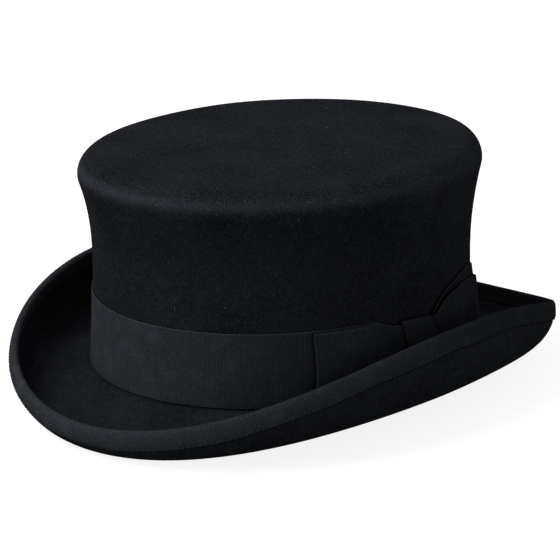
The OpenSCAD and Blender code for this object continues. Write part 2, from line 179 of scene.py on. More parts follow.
def tip_edge(phi, t):
    """The rounded edge of the tip, from the flat tip at t 0 to the top of the side at t 1."""
    out, facing = side_out(phi, SIDE_TOP)
    r = TIP_EDGE_H / (1 - np.sin(facing))
    a = mix(UP, facing, t)
    return out - r * np.cos(facing) + r * np.cos(a), CROWN_H - r + r * np.sin(a), a


def side(phi, t):
    """The crown's side, from its top at t 0 down to the break at t 1."""
    z = mix(SIDE_TOP, BREAK_R, t)
    out, facing = side_out(phi, z)
    return out, z + 0 * phi, facing


print("the bell stands out at the front by", round(float(side_out(0.0, SIDE_TOP)[0]), 1), "mm")

# %% The brim's outline


def break_centre(phi):
    """Centre of the bend between side and brim, and the direction that the side faces there."""
    out, facing = side_out(phi, BREAK_R)
    return out + BREAK_R * np.cos(facing), BREAK_R + BREAK_R * np.sin(facing), facing


def break_bend(phi, t):
    """The bend from the crown's side at t 0 to the brim at t 1."""
    u, z, facing = break_centre(phi)
    a = mix(facing, UP + round_hat(BRIM_SLOPE, phi), t)
    return u - BREAK_R * np.cos(a), z - BREAK_R * np.sin(a), a


def roll_sizes(phi):
    """Outer radius of the rolled edge, the angles where it starts and ends, and the flat before it."""
    start, turn = UP + round_hat(BRIM_SLOPE, phi), round_hat(ROLL_TURN, phi)
    width = round_hat(BRIM_W, phi)
    flat = np.maximum(MIN_FLAT, width - round_hat(ROLL_R, phi) * turn)
    return (width - flat) / turn, start, start + turn, flat


def brim_flat(phi, t):
    """The sloping part of the brim, from the break at t 0 to the roll at t 1."""
    u, z, a = break_bend(phi, 1.0)
    flat = roll_sizes(phi)[3]
    return u + t * flat * np.sin(a), z - t * flat * np.cos(a), a + 0 * t


def roll_centre(phi):
    """Centre of the rolled edge."""
    u, z, a = brim_flat(phi, 1.0)
    r = roll_sizes(phi)[0] - FELT_T
    return u + r * np.cos(a), z + r * np.sin(a)


def brim_roll(phi, a):
    """The rolled edge's upper face, at the angle a of its normal."""
    u, z = roll_centre(phi)
    r = roll_sizes(phi)[0] - FELT_T
    return u - r * np.cos(a), z - r * np.sin(a), a


def bind_start(phi):
    """The angle where the binding begins on the rolled edge."""
    r, _, end, _ = roll_sizes(phi)
    return end - BIND_W / r


def edge_round(phi, over, t):
    """The half-round edge of the brim, from its upper face at t 0 to its under face at t 1."""
    u, z = roll_centre(phi)
    r, _, n, _ = roll_sizes(phi)
    a = math.pi * t
    reach = FELT_T / 2 + over
    out = u - (r - FELT_T / 2) * np.cos(n) + reach * (np.cos(a) * np.cos(n) + np.sin(a) * np.sin(n))
    up = z - (r - FELT_T / 2) * np.sin(n) + reach * (np.cos(a) * np.sin(n) - np.sin(a) * np.cos(n))
    return place(phi, out, up)


def sunk(phi, run, depth):
    """A run of the outline, moved in by a depth, as points."""
    out, z, facing = np.broadcast_arrays(*run)
    return place(phi, out - depth * np.cos(facing), z - depth * np.sin(facing))


print("brim widths", BRIM_W, "rolled edge radii", ROLL_R)

# %% [markdown]
# ## From grids of points to meshes
# Cloth is a sheet with two faces and edges between them. A Solidify modifier can thicken a single
# face, but the hat's layers lie a fraction of a millimetre apart, so both faces are placed exactly. The
# helper below takes two grids of points and sews them into one closed mesh. It also stores how far
# along the cloth each corner lies, and how far from its nearer selvedge, for the patterns woven into it.

# %% Mesh helpers


def grid_corners(n, m, looped):
    """Station and point numbers of the corners of a grid's faces, counter-clockwise from outside."""
    spans = n if looped else n - 1
    j, k = np.meshgrid(np.arange(spans), np.arange(m - 1), indexing="ij")
    j, k = j.ravel(), k.ravel()
    return np.stack([j, j, j + 1, j + 1], 1), np.stack([k, k + 1, k + 1, k], 1)


def make_piece(name, points, faces, corner_uv=None):
    """A smooth mesh object from points in millimetres and lists of corners."""
    mesh = bpy.data.meshes.new(name)
    mesh.from_pydata((np.asarray(points) * MM).tolist(), [], faces)
    if corner_uv is not None:
        layer = mesh.uv_layers.new(name="cloth")
        layer.uv.foreach_set("vector", np.asarray(corner_uv, np.float32).ravel())
    mesh.shade_smooth()
    piece = bpy.data.objects.new(name, mesh)
    bpy.context.scene.collection.objects.link(piece)
    return piece


def lengths(points):
    """Distances along a line of points."""
    return np.concatenate([[0], np.cumsum(np.linalg.norm(np.diff(points, axis=0), axis=1))])


print("a strip of 3 by 2 points has", len(grid_corners(3, 2, False)[0]), "faces")

# %% Sheets of cloth


def sew_sheet(name, face, back, looped, along, rows):
    """A closed sheet between two grids of points, [station, point, xyz], with its face's rows across it."""
    n = len(face)
    from_edge = np.minimum(rows, rows[-1] - rows)
    faces, uvs = [], []
    first = 0
    for grid, inside in ((face, False), (back, True)):
        m = grid.shape[1]
        j, k = grid_corners(n, m, looped)
        if inside:
            j, k = j[:, ::-1], k[:, ::-1]
        faces += (first + (j % n) * m + k).tolist()
        gap = np.interp(k / (m - 1), np.linspace(0, 1, len(rows)), from_edge)
        uvs.append(np.stack([along[j], gap], -1).reshape(-1, 2) * MM)
        first += n * m
    m, w = face.shape[1], back.shape[1]
    j = np.arange(n if looped else n - 1)
    i = (j + 1) % n
    for row, far, flip in ((0, 0, False), (m - 1, w - 1, True)):
        rim = np.stack([j * m + row, i * m + row, n * m + i * w + far, n * m + j * w + far], 1)
        faces += (rim[:, ::-1] if flip else rim).tolist()
        ends = np.stack([along[j], along[j + 1], along[j + 1], along[j]], 1)
        ends = ends[:, ::-1] if flip else ends
        uvs.append(np.stack([ends, 0 * ends], -1).reshape(-1, 2) * MM)
    if not looped:
        start = list(range(m - 1, -1, -1)) + [n * m + k for k in range(w)]
        end = [(n - 1) * m + k for k in range(m)] + [n * m + (n - 1) * w + k for k in range(w - 1, -1, -1)]
        faces += [start, end]
        uvs.append(np.zeros((len(start) + len(end), 2)))
    points = np.concatenate([face.reshape(-1, 3), back.reshape(-1, 3)])
    return make_piece(name, points, faces, np.concatenate(uvs))


def finish_piece(piece, material, slot, *stands_for):
    """Gives a piece its material, lets it ride on the hat, and hides the solids it stands for. slot is not
    used.
    """
    piece.data.materials.append(material)
    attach(piece, "root")
    if stands_for:
        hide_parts(*stands_for)
    print(piece.name, len(piece.data.vertices), "points")
    return piece


# %% [markdown]
# ## Colour and shader nodes
# Colours are written as the sRGB hex values that a colour picker shows, and one function turns them
# into the linear values that shaders work with. Another adds a shader node, sets it up and links it.
# Patterns are sized in millimetres: a texture's scale is how many of its cells fit in a metre.

# %% Node helpers


def linear(hex_colour):
    """An sRGB hex colour as linear red, green, blue and alpha."""
    parts = [int(hex_colour[i : i + 2], 16) / 255 for i in (1, 3, 5)]
    return (*(p / 12.92 if p <= 0.04045 else ((p + 0.055) / 1.055) ** 2.4 for p in parts), 1.0)


def add(tree, kind, inputs=None, out=0, **settings):
    """Adds a node with settings, and inputs that are values or other nodes' outputs. Gives its output."""
    made = tree.nodes.new("ShaderNode" + kind)
    for name, value in settings.items():
        setattr(made, name, value)
    for socket, value in (inputs or {}).items():
        if isinstance(value, bpy.types.NodeSocket):
            tree.links.new(value, made.inputs[socket])
        else:
            made.inputs[socket].default_value = value
    return made.outputs if out is None else made.outputs[out]


def new_material(name, **sockets):
    """A material with one Principled shader, and the values that are the same all over it."""
    material = bpy.data.materials.new(name)
    material.use_nodes = True
    tree = material.node_tree
    shader = tree.nodes["Principled BSDF"]
    for socket, value in sockets.items():
        shader.inputs[socket.replace("_", " ")].default_value = value
    return material, tree, shader


def cells(size_mm):
    """A texture scale whose cells are that many millimetres wide."""
    return 1 / (size_mm * MM)


FACTOR, FIRST, SECOND, MIXED = 0, 6, 7, 2  # the sockets of a Mix node that mixes colours
print("mid grey in linear light:", [round(c, 3) for c in linear("#808080")])

# %% [markdown]
# ## Wool felt, blocked and brushed
# Felt is wool matted with steam until the fibres lock, then stiffened, pulled over a wooden block and
# brushed. Its fibres stand up in a short nap that traps light, so it has almost no gloss, and only at
# a glancing angle do the tips of the fibres glow. A trace of sheen gives that glow: on a surface this
# dark, more would turn it grey. An occlusion node paints shade into creases, darkening what lies close
# to another surface. Noise at four sizes gives the clumps of fibre, their pale tips, brush marks and
# the cloudy dye, and where a fifth one peaks, a speck of lint clings to the nap. The edge of the tip is
# where such a hat is brushed and taken hold of most, so the nap there is painted a little paler, partly
# as wear from rubbing and partly as a painted highlight along the edge, and more so on the left of the
# front as painted light. Dust stays on the tip itself.

# %% Painted crease shade and painted light across the hat
PAINTED_LIGHT_WAY = (0.7, 0.7, 0.0)  # from the front's left, where light is painted on, across the hat to where shade is painted on
CREASED, OPEN = 0.4, 0.9
CREASE_SHADE_SHARE = 0.15


def painted_crease_shade(tree, reach_mm):
    """Painted shade for creases: 1 in the open, and much less where another surface is within reach."""
    airy = add(tree, "AmbientOcclusion", {"Distance": reach_mm * MM}, "AO", samples=4)
    return add(tree, "MapRange", {"Value": airy, "From Min": CREASED, "From Max": OPEN,
                                  "To Min": CREASE_SHADE_SHARE})


def painted_light_across(tree, at, from_mm, to_mm, first, last):
    """A value that goes from first to last across the hat, from where light is painted on to where shade is
    painted on.
    """
    way = add(tree, "VectorMath", {0: at, 1: PAINTED_LIGHT_WAY}, "Value", operation="DOT_PRODUCT")
    return add(tree, "MapRange", {"Value": way, "From Min": from_mm * MM, "From Max": to_mm * MM,
                                  "To Min": first, "To Max": last})


print("from the faded side to the other:", PAINTED_LIGHT_WAY)

# %% Wool felt material
FELT_DARK = "#090a0c"
FELT_PALE = "#25272c"
FELT_RUB_AND_HIGHLIGHT = "#3c3f46"
LINT = "#5c6068"
CLUMP_MM = 0.6  # fibres are 0.02 mm, too fine to show, so the nap is drawn by its clumps
TIP_MM = 1.0
BRUSH_MM = 4.0
CLOUD_MM = 34.0
LINT_MM = 2.2
BRUSH_SHARE = 0.3
CLOUD_SHARE = 0.4
TONES = (0.59, 1.22)
CREASE_SHADE_MM = 3.0
NAP_BUMP_MM = 0.25
RUB_AND_HIGHLIGHT_Z = CROWN_H - 5.6
RUB_AND_HIGHLIGHT_HALF = 4.2
RUB_AND_HIGHLIGHT_SHARE = 0.42
RUB_LIT_AT, RUB_SHADED_AT = -94.0, 94.0
LIT_SIDE_RUB, SHADED_SIDE_RUB = 1.4, 0.4
PALE_TIPS = (0.52, 0.8)
DUSTED_Z = CROWN_H - 14
SIDE_DUST, TIP_DUST = 0.2, 0.42
LINT_PEAK = 0.735
LINT_EDGE = 0.04


def wool_felt():
    material, tree, shader = new_material(
        "wool_felt_blocked_and_brushed", Roughness=0.9, IOR=1.54, Specular_IOR_Level=0.0,
        Sheen_Weight=0.006, Sheen_Roughness=0.5, Sheen_Tint=linear("#cdd6e6"))
    at = add(tree, "TexCoord", out="Object")
    clump, brush, cloud, tips = [
        add(tree, "TexNoise", {"Vector": at, "Scale": cells(size), "Detail": detail})
        for size, detail in ((CLUMP_MM, 2.0), (BRUSH_MM, 4.0), (CLOUD_MM, 3.0), (TIP_MM, 2.0))]
    nap = add(tree, "Math", {0: brush, 1: BRUSH_SHARE, 2: clump}, operation="MULTIPLY_ADD")
    dyed = add(tree, "Math", {0: cloud, 1: CLOUD_SHARE, 2: nap}, operation="MULTIPLY_ADD")
    tone = add(tree, "MapRange", {"Value": dyed, "From Min": TONES[0], "From Max": TONES[1]})
    # painted shade: the felt is darker in creases and close to other surfaces
    tone = add(tree, "Math", {0: tone, 1: painted_crease_shade(tree, CREASE_SHADE_MM)}, operation="MULTIPLY")
    wool = add(tree, "Mix", {FACTOR: tone, FIRST: linear(FELT_DARK), SECOND: linear(FELT_PALE)}, MIXED,
               data_type="RGBA")
    # Paler along the tip's edge, partly wear and partly a painted highlight, and dusty on the tip
    height = add(tree, "SeparateXYZ", {0: at}, 2)
    off_rub_and_highlight = add(tree, "Math", {0: height, 1: RUB_AND_HIGHLIGHT_Z * MM}, operation="SUBTRACT")
    off_rub_and_highlight = add(tree, "Math", {0: off_rub_and_highlight}, operation="ABSOLUTE")
    rub_and_highlight = add(tree, "MapRange", {"Value": off_rub_and_highlight, "From Max": RUB_AND_HIGHLIGHT_HALF * MM,
                                    "To Min": RUB_AND_HIGHLIGHT_SHARE, "To Max": 0.0}, interpolation_type="SMOOTHSTEP")
    # painted light: the pale edge is stronger on the left of the front and weaker on the far side
    painted_light_side = painted_light_across(tree, at, RUB_LIT_AT, RUB_SHADED_AT, LIT_SIDE_RUB, SHADED_SIDE_RUB)
    rub_and_highlight = add(tree, "Math", {0: rub_and_highlight, 1: painted_light_side}, operation="MULTIPLY")
    tips = add(tree, "MapRange", {"Value": tips, "From Min": PALE_TIPS[0], "From Max": PALE_TIPS[1]})
    dusted = add(tree, "MapRange", {"Value": height, "From Min": DUSTED_Z * MM, "From Max": RUB_AND_HIGHLIGHT_Z * MM,
                                    "To Min": SIDE_DUST, "To Max": TIP_DUST})
    tips = add(tree, "Math", {0: tips, 1: dusted}, operation="MULTIPLY")
    rub_and_highlight = add(tree, "Math", {0: rub_and_highlight, 1: clump, 2: tips}, operation="MULTIPLY_ADD")
    wool = add(tree, "Mix", {FACTOR: rub_and_highlight, FIRST: wool, SECOND: linear(FELT_RUB_AND_HIGHLIGHT)}, MIXED,
               data_type="RGBA")
    # Lint, and the nap's own relief
    fluff = add(tree, "TexNoise", {"Vector": at, "Scale": cells(LINT_MM), "Detail": 3.0, "Distortion": 1.5})
    is_lint = add(tree, "MapRange", {"Value": fluff, "From Min": LINT_PEAK,
                                     "From Max": LINT_PEAK + LINT_EDGE})
    dusty = add(tree, "Mix", {FACTOR: is_lint, FIRST: wool, SECOND: linear(LINT)}, MIXED, data_type="RGBA")
    tree.links.new(dusty, shader.inputs["Base Color"])
    fibres = add(tree, "Bump", {"Height": nap, "Strength": 0.6, "Distance": NAP_BUMP_MM * MM})
    tree.links.new(fibres, shader.inputs["Normal"])
    return material


FELT = wool_felt()
print(FELT.name, "has", len(FELT.node_tree.nodes), "nodes")

# %% [markdown]
# ## Grosgrain, woven with thick weft cords
# Grosgrain is a ribbon of fine silk-like warp over thick cotton weft, which makes ribs straight across
# it. The ribs are modelled in the mesh. Between two ribs the warp dives into a valley that light hardly
# reaches, and the material paints that shade into the valleys too. It makes each rib a little paler or
# darker than the next, as the yarns of a real ribbon are, and adds the smudges and dust of some wear.
# A paler line along each selvedge is a painted highlight, and an occlusion node paints shade into folds.
# A slow change across the hat paints light onto the ribbons on the left of the front, where their ribs
# show less and more dust shows, and paints shade onto the far side. Like the felt it is matt: a gloss
# would turn such a black grey.

# %% Grosgrain material
RIB_MM = 1.05
RIB_DEPTH = 0.13
RIBBON_DARK = "#090a0b"
RIBBON_PALE = "#373a40"
DUST = "#4a4d54"
DUST_MM = 2.2
DUST_PEAK = 0.755
SMUDGE_MM = 9.0
FOLD_SHADE_MM = 8.0
SELVEDGE_HIGHLIGHT_MM = 0.6
LIT_PAINTED_AT = -100.0
SHADE_PAINTED_AT = 105.0
LIT_PAINTED_SHARE = 1.1
SHADE_PAINTED_SHARE = 0.4
LIT_PAINTED_RELIEF = 0.35
MEAN_CREST = 0.64
WORN = (0.52, 0.82)
YARN_SHARE, FRAY_SHARE, WORN_SHARE = 0.1, 2.2, 0.55
RIBBON_TONES = (0.75, 2.76)
SELVEDGE_HIGHLIGHT_SHARE = 0.5
DUST_EDGE = 0.08
FRAY_BUMP_MM = 0.1


def grosgrain():
    material, tree, shader = new_material(
        "grosgrain_woven_rayon_and_cotton", Roughness=0.65, IOR=1.53, Specular_IOR_Level=0.0,
        Sheen_Weight=0.004, Sheen_Roughness=0.4, Sheen_Tint=linear("#d6dce6"))
    at = add(tree, "TexCoord", out="Object")
    fray, worn, specks = [
        add(tree, "TexNoise", {"Vector": at, "Scale": cells(size), "Detail": detail})
        for size, detail in ((CLUMP_MM, 2.0), (SMUDGE_MM, 2.0), (DUST_MM, 3.0))]
    # Ribs, each with its own yarn and with painted shade in their valleys, less crisp where light is
    # painted on
    along, from_edge, _ = add(tree, "SeparateXYZ", {0: add(tree, "UVMap", uv_map="cloth")}, None)
    which = add(tree, "Math", {0: along, 1: cells(RIB_MM)}, operation="MULTIPLY")
    which = add(tree, "Math", {0: which}, operation="FLOOR")
    yarn = add(tree, "TexWhiteNoise", {"W": which}, "Value", noise_dimensions="1D")
    # painted shade in the valleys between the ribs
    crest = add(tree, "Math", {0: along, 1: math.pi * cells(RIB_MM)}, operation="MULTIPLY")
    for turned in ("SINE", "ABSOLUTE"):
        crest = add(tree, "Math", {0: crest}, operation=turned)
    relief = add(tree, "Math", {0: crest, 1: MEAN_CREST}, operation="SUBTRACT")
    # painted light: the ribs' relief is weaker on the left of the front
    crisp = painted_light_across(tree, at, LIT_PAINTED_AT, 0.0, LIT_PAINTED_RELIEF, 1.0)
    shades = add(tree, "Math", {0: relief, 1: crisp, 2: MEAN_CREST}, operation="MULTIPLY_ADD")
    worn = add(tree, "MapRange", {"Value": worn, "From Min": WORN[0], "From Max": WORN[1]})
    for part, weight in ((yarn, YARN_SHARE), (fray, FRAY_SHARE), (worn, WORN_SHARE)):
        shades = add(tree, "Math", {0: part, 1: weight, 2: shades}, operation="MULTIPLY_ADD")
    tone = add(tree, "MapRange", {"Value": shades, "From Min": RIBBON_TONES[0],
                                  "From Max": RIBBON_TONES[1]})
    # A painted highlight along the selvedge, painted shade in folds, and painted light and shade across the
    # hat
    # painted highlight along each selvedge
    selvedge_highlight = add(tree, "MapRange", {"Value": from_edge, "From Max": SELVEDGE_HIGHLIGHT_MM * MM,
                                  "To Min": SELVEDGE_HIGHLIGHT_SHARE, "To Max": 0.0}, interpolation_type="SMOOTHSTEP")
    tone = add(tree, "Math", {0: selvedge_highlight, 1: crest, 2: tone}, operation="MULTIPLY_ADD")
    # painted light on the left of the front, and painted shade on the far side
    painted_lit = painted_light_across(tree, at, LIT_PAINTED_AT, SHADE_PAINTED_AT, LIT_PAINTED_SHARE, SHADE_PAINTED_SHARE)
    # painted shade in folds and creases, then the painted light and shade across the hat
    for share in (painted_crease_shade(tree, FOLD_SHADE_MM), painted_lit):
        tone = add(tree, "Math", {0: tone, 1: share}, operation="MULTIPLY")
    colour = add(tree, "Mix", {FACTOR: tone, FIRST: linear(RIBBON_DARK), SECOND: linear(RIBBON_PALE)},
                 MIXED, data_type="RGBA")
    # Dust, shown more where light is painted on, and the frayed yarn's own relief
    specks = add(tree, "MapRange", {"Value": specks, "From Min": DUST_PEAK,
                                    "From Max": DUST_PEAK + DUST_EDGE})
    # more dust shows where light is painted on
    specks = add(tree, "Math", {0: specks, 1: painted_lit}, operation="MULTIPLY")
    dusty = add(tree, "Mix", {FACTOR: specks, FIRST: colour, SECOND: linear(DUST)}, MIXED, data_type="RGBA")
    tree.links.new(dusty, shader.inputs["Base Color"])
    thread = add(tree, "Bump", {"Height": fray, "Strength": 0.3, "Distance": FRAY_BUMP_MM * MM})
    tree.links.new(thread, shader.inputs["Normal"])
    return material


GROSGRAIN = grosgrain()
print(GROSGRAIN.name, "has", len(GROSGRAIN.node_tree.nodes), "nodes")

# %% [markdown]
# ## The other finishes
# Inside the hat are smooth leather, woven satin, cotton tape and a drawn plastic rod, and fine thread
# sews the pieces together. Leather has a cell-like grain under a wax polish. Satin floats long threads
# on its face, so it shines more along one way than the other. Tape is a plain weave of matt threads. The
# rod is milky and smooth, and the waxed thread is dull, a little paler than the ribbon that it sews.

# %% Leather, satin, tape, rod and thread materials
GRAIN_MM = 0.8
GRAIN_BUMP_MM = 0.12
WEAVE_MM = 0.7  # a real thread is 0.3 mm, too fine to show, so the weave is drawn coarser
WEAVE_BUMP_MM = 0.1
MOTTLED = (0.35, 0.65)


def mottled(name, dark, pale, size_mm, bump_mm, relief=None, **sockets):
    """A material of two close tones, with a bump of the same noise over a finer relief if it has one."""
    material, tree, shader = new_material(name, **sockets)
    at = add(tree, "TexCoord", out="Object")
    noise = add(tree, "TexNoise", {"Vector": at, "Scale": cells(size_mm), "Detail": 4.0})
    tone = add(tree, "MapRange", {"Value": noise, "From Min": MOTTLED[0], "From Max": MOTTLED[1]})
    colour = add(tree, "Mix", {FACTOR: tone, FIRST: linear(dark), SECOND: linear(pale)}, MIXED,
                 data_type="RGBA")
    tree.links.new(colour, shader.inputs["Base Color"])
    rough = {"Height": noise, "Strength": 0.5, "Distance": bump_mm * MM}
    if relief:
        rough["Normal"] = relief(tree)
    tree.links.new(add(tree, "Bump", rough), shader.inputs["Normal"])
    return material


def leather_grain(tree):
    """A bump of the small cells in leather's grain."""
    at = add(tree, "TexCoord", out="Object")
    grain = add(tree, "TexVoronoi", {"Vector": at, "Scale": cells(GRAIN_MM)}, feature="SMOOTH_F1")
    return add(tree, "Bump", {"Height": grain, "Strength": 0.5, "Distance": GRAIN_BUMP_MM * MM},
               invert=True)


def plain_weave(tree):
    """A bump of threads that go over and under each other."""
    uv = add(tree, "UVMap", uv_map="cloth")
    weave = add(tree, "TexChecker", {"Vector": uv, "Scale": cells(WEAVE_MM)}, "Fac")
    return add(tree, "Bump", {"Height": weave, "Strength": 0.6, "Distance": WEAVE_BUMP_MM * MM})


LEATHER = mottled("sheep_leather_dyed_and_waxed", "#171311", "#2a221d", size_mm=6.0, bump_mm=0.1,
                  relief=leather_grain, Roughness=0.42, IOR=1.5, Specular_IOR_Level=0.45)
TAPE = mottled("cotton_tape_plain_woven", "#18181a", "#2b2b2e", size_mm=1.2, bump_mm=0.08,
               relief=plain_weave, Roughness=0.9, IOR=1.53, Specular_IOR_Level=0.12, Sheen_Weight=0.04)
SATIN = mottled("satin_woven_rayon", "#141519", "#1f2026", size_mm=9.0, bump_mm=0.05, Roughness=0.5,
                IOR=1.53, Specular_IOR_Level=0.12, Anisotropic=0.5, Sheen_Weight=0.03, Sheen_Roughness=0.3)
ROD = mottled("polyethylene_drawn_rod", "#b5ad9a", "#c7c0ae", size_mm=4.0, bump_mm=0.02,
              Roughness=0.4, IOR=1.51)
THREAD = mottled("cotton_thread_twisted_and_waxed", "#1d1f23", "#373a40", size_mm=0.8, bump_mm=0.05,
                 Roughness=0.6, IOR=1.53, Specular_IOR_Level=0.0)
print("materials:", [m.name for m in bpy.data.materials])

# %% [markdown]
# ## The camera and the studio
# The camera stands where the photograph's did: forty degrees round from the front and a little above,
# with a long lens that hardly spreads the lines. The camera turns to frame the hat, so its view needs
# no shift. Big soft lamps on the left and behind, weak ones in front and on the right, and a pale dome
# light the hat at a plain level. The background is white only where it is seen, not as a light, and the
# floor keeps the hat's shadow.

# %% Camera
CAMERA_ROUND = math.radians(40.4)
CAMERA_UP = math.radians(16.8)
CAMERA_AWAY = 1172.35
LENS_MM = 152.65
MIDDLE = Vector((0, 0, 45))
AIM_RIGHT = -1.63
AIM_UP = -11.26

level_away = Vector((math.sin(CAMERA_ROUND), -math.cos(CAMERA_ROUND), 0))
away = level_away * math.cos(CAMERA_UP) + Vector((0, 0, math.sin(CAMERA_UP)))
right = Vector((math.cos(CAMERA_ROUND), math.sin(CAMERA_ROUND), 0))
over = away.cross(right)


def look(thing, eye, aim):
    """Puts a camera or lamp at eye, looking at aim, both in millimetres."""
    thing.location = eye * MM
    thing.rotation_mode = "QUATERNION"
    thing.rotation_quaternion = (aim - eye).to_track_quat("-Z", "Y")
    bpy.context.scene.collection.objects.link(thing)
    return thing


camera = bpy.data.objects.new("camera", bpy.data.cameras.new("camera"))
camera.data.lens = LENS_MM
look(camera, MIDDLE + away * CAMERA_AWAY, MIDDLE + right * AIM_RIGHT + over * AIM_UP)
bpy.context.scene.camera = camera
bpy.context.scene.view_settings.view_transform = "Standard"
print("camera at", tuple(round(c, 3) for c in camera.location))

# %% Lamps and dome
AMBIENT = 0.42
LAMP_AWAY = 1500.0
LAMP_SIZE = 900.0
# Each lamp's way as the camera sees it, towards the right, up and towards the camera, and its watts
LAMPS = {
    "key_lamp": (-0.6, 0.75, 0.5, 16),
    "side_lamp": (-0.9, 0.2, 0.4, 6),
    "front_lamp": (0.3, -0.1, 0.95, 3.5),
    "back_lamp": (-0.5, 0.35, -0.8, 11),
    "right_lamp": (0.95, 0.25, -0.15, 2.5),
    "rear_lamp": (0.65, 0.1, -0.75, 10),
}


def seen_directly(tree):
    """1 where the camera sees a surface directly, in a mirror or through glass, and 0 for its light."""
    path = add(tree, "LightPath", out=None)
    seen = path["Is Camera Ray"]
    for ray in ("Is Glossy Ray", "Is Transmission Ray"):
        seen = add(tree, "Math", {0: seen, 1: path[ray]}, operation="MAXIMUM")
    return seen


for name, (toward_right, toward_up, toward_camera, watts) in LAMPS.items():
    lamp = bpy.data.lights.new(name, "AREA")
    lamp.size = LAMP_SIZE * MM
    lamp.energy = watts
    way = (right * toward_right + over * toward_up + away * toward_camera).normalized()
    look(bpy.data.objects.new(name, lamp), MIDDLE + way * LAMP_AWAY, MIDDLE)

world = bpy.data.worlds.new("studio_dome")
world.use_nodes = True
bpy.context.scene.world = world
dome = world.node_tree
strength = add(dome, "MapRange", {"Value": seen_directly(dome), "To Min": AMBIENT, "To Max": 1.0})
dome.links.new(strength, dome.nodes["Background"].inputs["Strength"])
dome.nodes["Background"].inputs["Color"].default_value = linear("#ffffff")
print("lamps:", sorted(LAMPS))

# %% Floor
FLOOR_GLOW = 0.86
FLOOR_HALF = 9000.0

corners = np.array([(-1, -1, 0), (1, -1, 0), (1, 1, 0), (-1, 1, 0)]) * FLOOR_HALF
floor = make_piece("floor", corners + (0, 0, cad_low.z / MM), [(0, 1, 2, 3)])
paper, tree, shader = new_material("paper_sweep_matt", Roughness=1.0, Specular_IOR_Level=0.0)
shader.inputs["Base Color"].default_value = linear("#8c8c8c")
shine = add(tree, "Math", {0: seen_directly(tree), 1: FLOOR_GLOW}, operation="MULTIPLY")
glow = add(tree, "Emission", {"Color": linear("#ffffff"), "Strength": shine})
sweep = add(tree, "AddShader", {0: shader.outputs[0], 1: glow})
tree.links.new(sweep, tree.nodes["Material Output"].inputs["Surface"])
floor.data.materials.append(paper)
print("floor at", round(cad_low.z, 4))

# %% [markdown]
# ## The felt body
# Crown and brim are blocked from one hood of felt, so they are one closed skin here: over the tip, down
# the side, out along the brim, round its edge and back underneath. Hand blocking leaves the felt a
# little uneven, which a perfect formula would miss, so slow waves of a quarter of a millimetre are
# added where no ribbon lies on it. They are sums of sines that close round the hat, not random. Along
# the binding's lower edges the sewing presses a fine groove into the felt, which shows as a dark line.

# %% Waves and grooves of the felt
UNEVEN = 0.1
# Each slow wave: its share, how often it goes round the hat, its turn for each millimetre and its start
SWELLS = ((1.0, 3, 0.05, 1.0), (1.0, 5, -0.08, 2.2), (0.7, 8, 0.11, 0.0))
# Each waver of the binding's lower edges: its size, how often it goes round the hat and its start
WAVERS = ((0.22, 7, 1.0), (0.16, 17, 2.0), (0.1, 31, 0.0))


def steps(count):
    """Shares from 0 to 1 along a stretch, as one row."""
    return np.linspace(0, 1, count + 1)[None, :]


def uneven(phi, along):
    """Slow waves of a hand-blocked surface, in millimetres, along a stretch in millimetres."""
    return UNEVEN * sum(share * np.sin(times * phi + turn * along + start)
                        for share, times, turn, start in SWELLS)


def raised(run, lift):
    """A run of the outline, moved out along the way that it faces."""
    out, z, facing = run
    return out + lift * np.cos(facing), z + lift * np.sin(facing), facing


def waver(phi):
    """How far the binding's lower edges stray from their line, in millimetres."""
    return sum(size * np.sin(times * phi + start) for size, times, start in WAVERS)


def bound_from(phi):
    """The angle where the binding begins on the rolled edge, as it was sewn."""
    return bind_start(phi) + waver(phi) / roll_sizes(phi)[0]


def tip_rings(rim, shares, crowned):
    """Rings from near the middle of a tip out towards its rim, with the rim's waves fading inwards."""
    level = rim[..., 2:].mean()
    return np.concatenate([np.concatenate(
        [rim[..., :2] * s, mix(level, rim[..., 2:], s**4) + crowned * (1 - s * s)], -1) for s in shares], 1)


print("the felt is uneven by up to", round(UNEVEN * sum(share for share, *_ in SWELLS), 2), "mm")

# %% Felt body
STATIONS = 360
# Steps along each stretch of the outline
STRETCHES = {"tip": 16, "side": 48, "break": 6, "flat": 12, "roll": 24, "held": 5, "edge": 8}
TIP_RINGS = 14
TIP_CROWN = 0.4
GROOVE = 0.35
GROOVE_HALF = 1.3
GROOVE_AT = np.array([-1, -0.6, -0.3, 0, 0.3, 0.6, 1])[None, :]
BAND_CLEAR = 1.0
BARE_OVER = 12.0
BRIM_ALONG = 40.0
WAVES_FULL_AT = 0.5
WAVES_FADE_FROM = 0.6
WAVES_FADE_OVER = 0.35


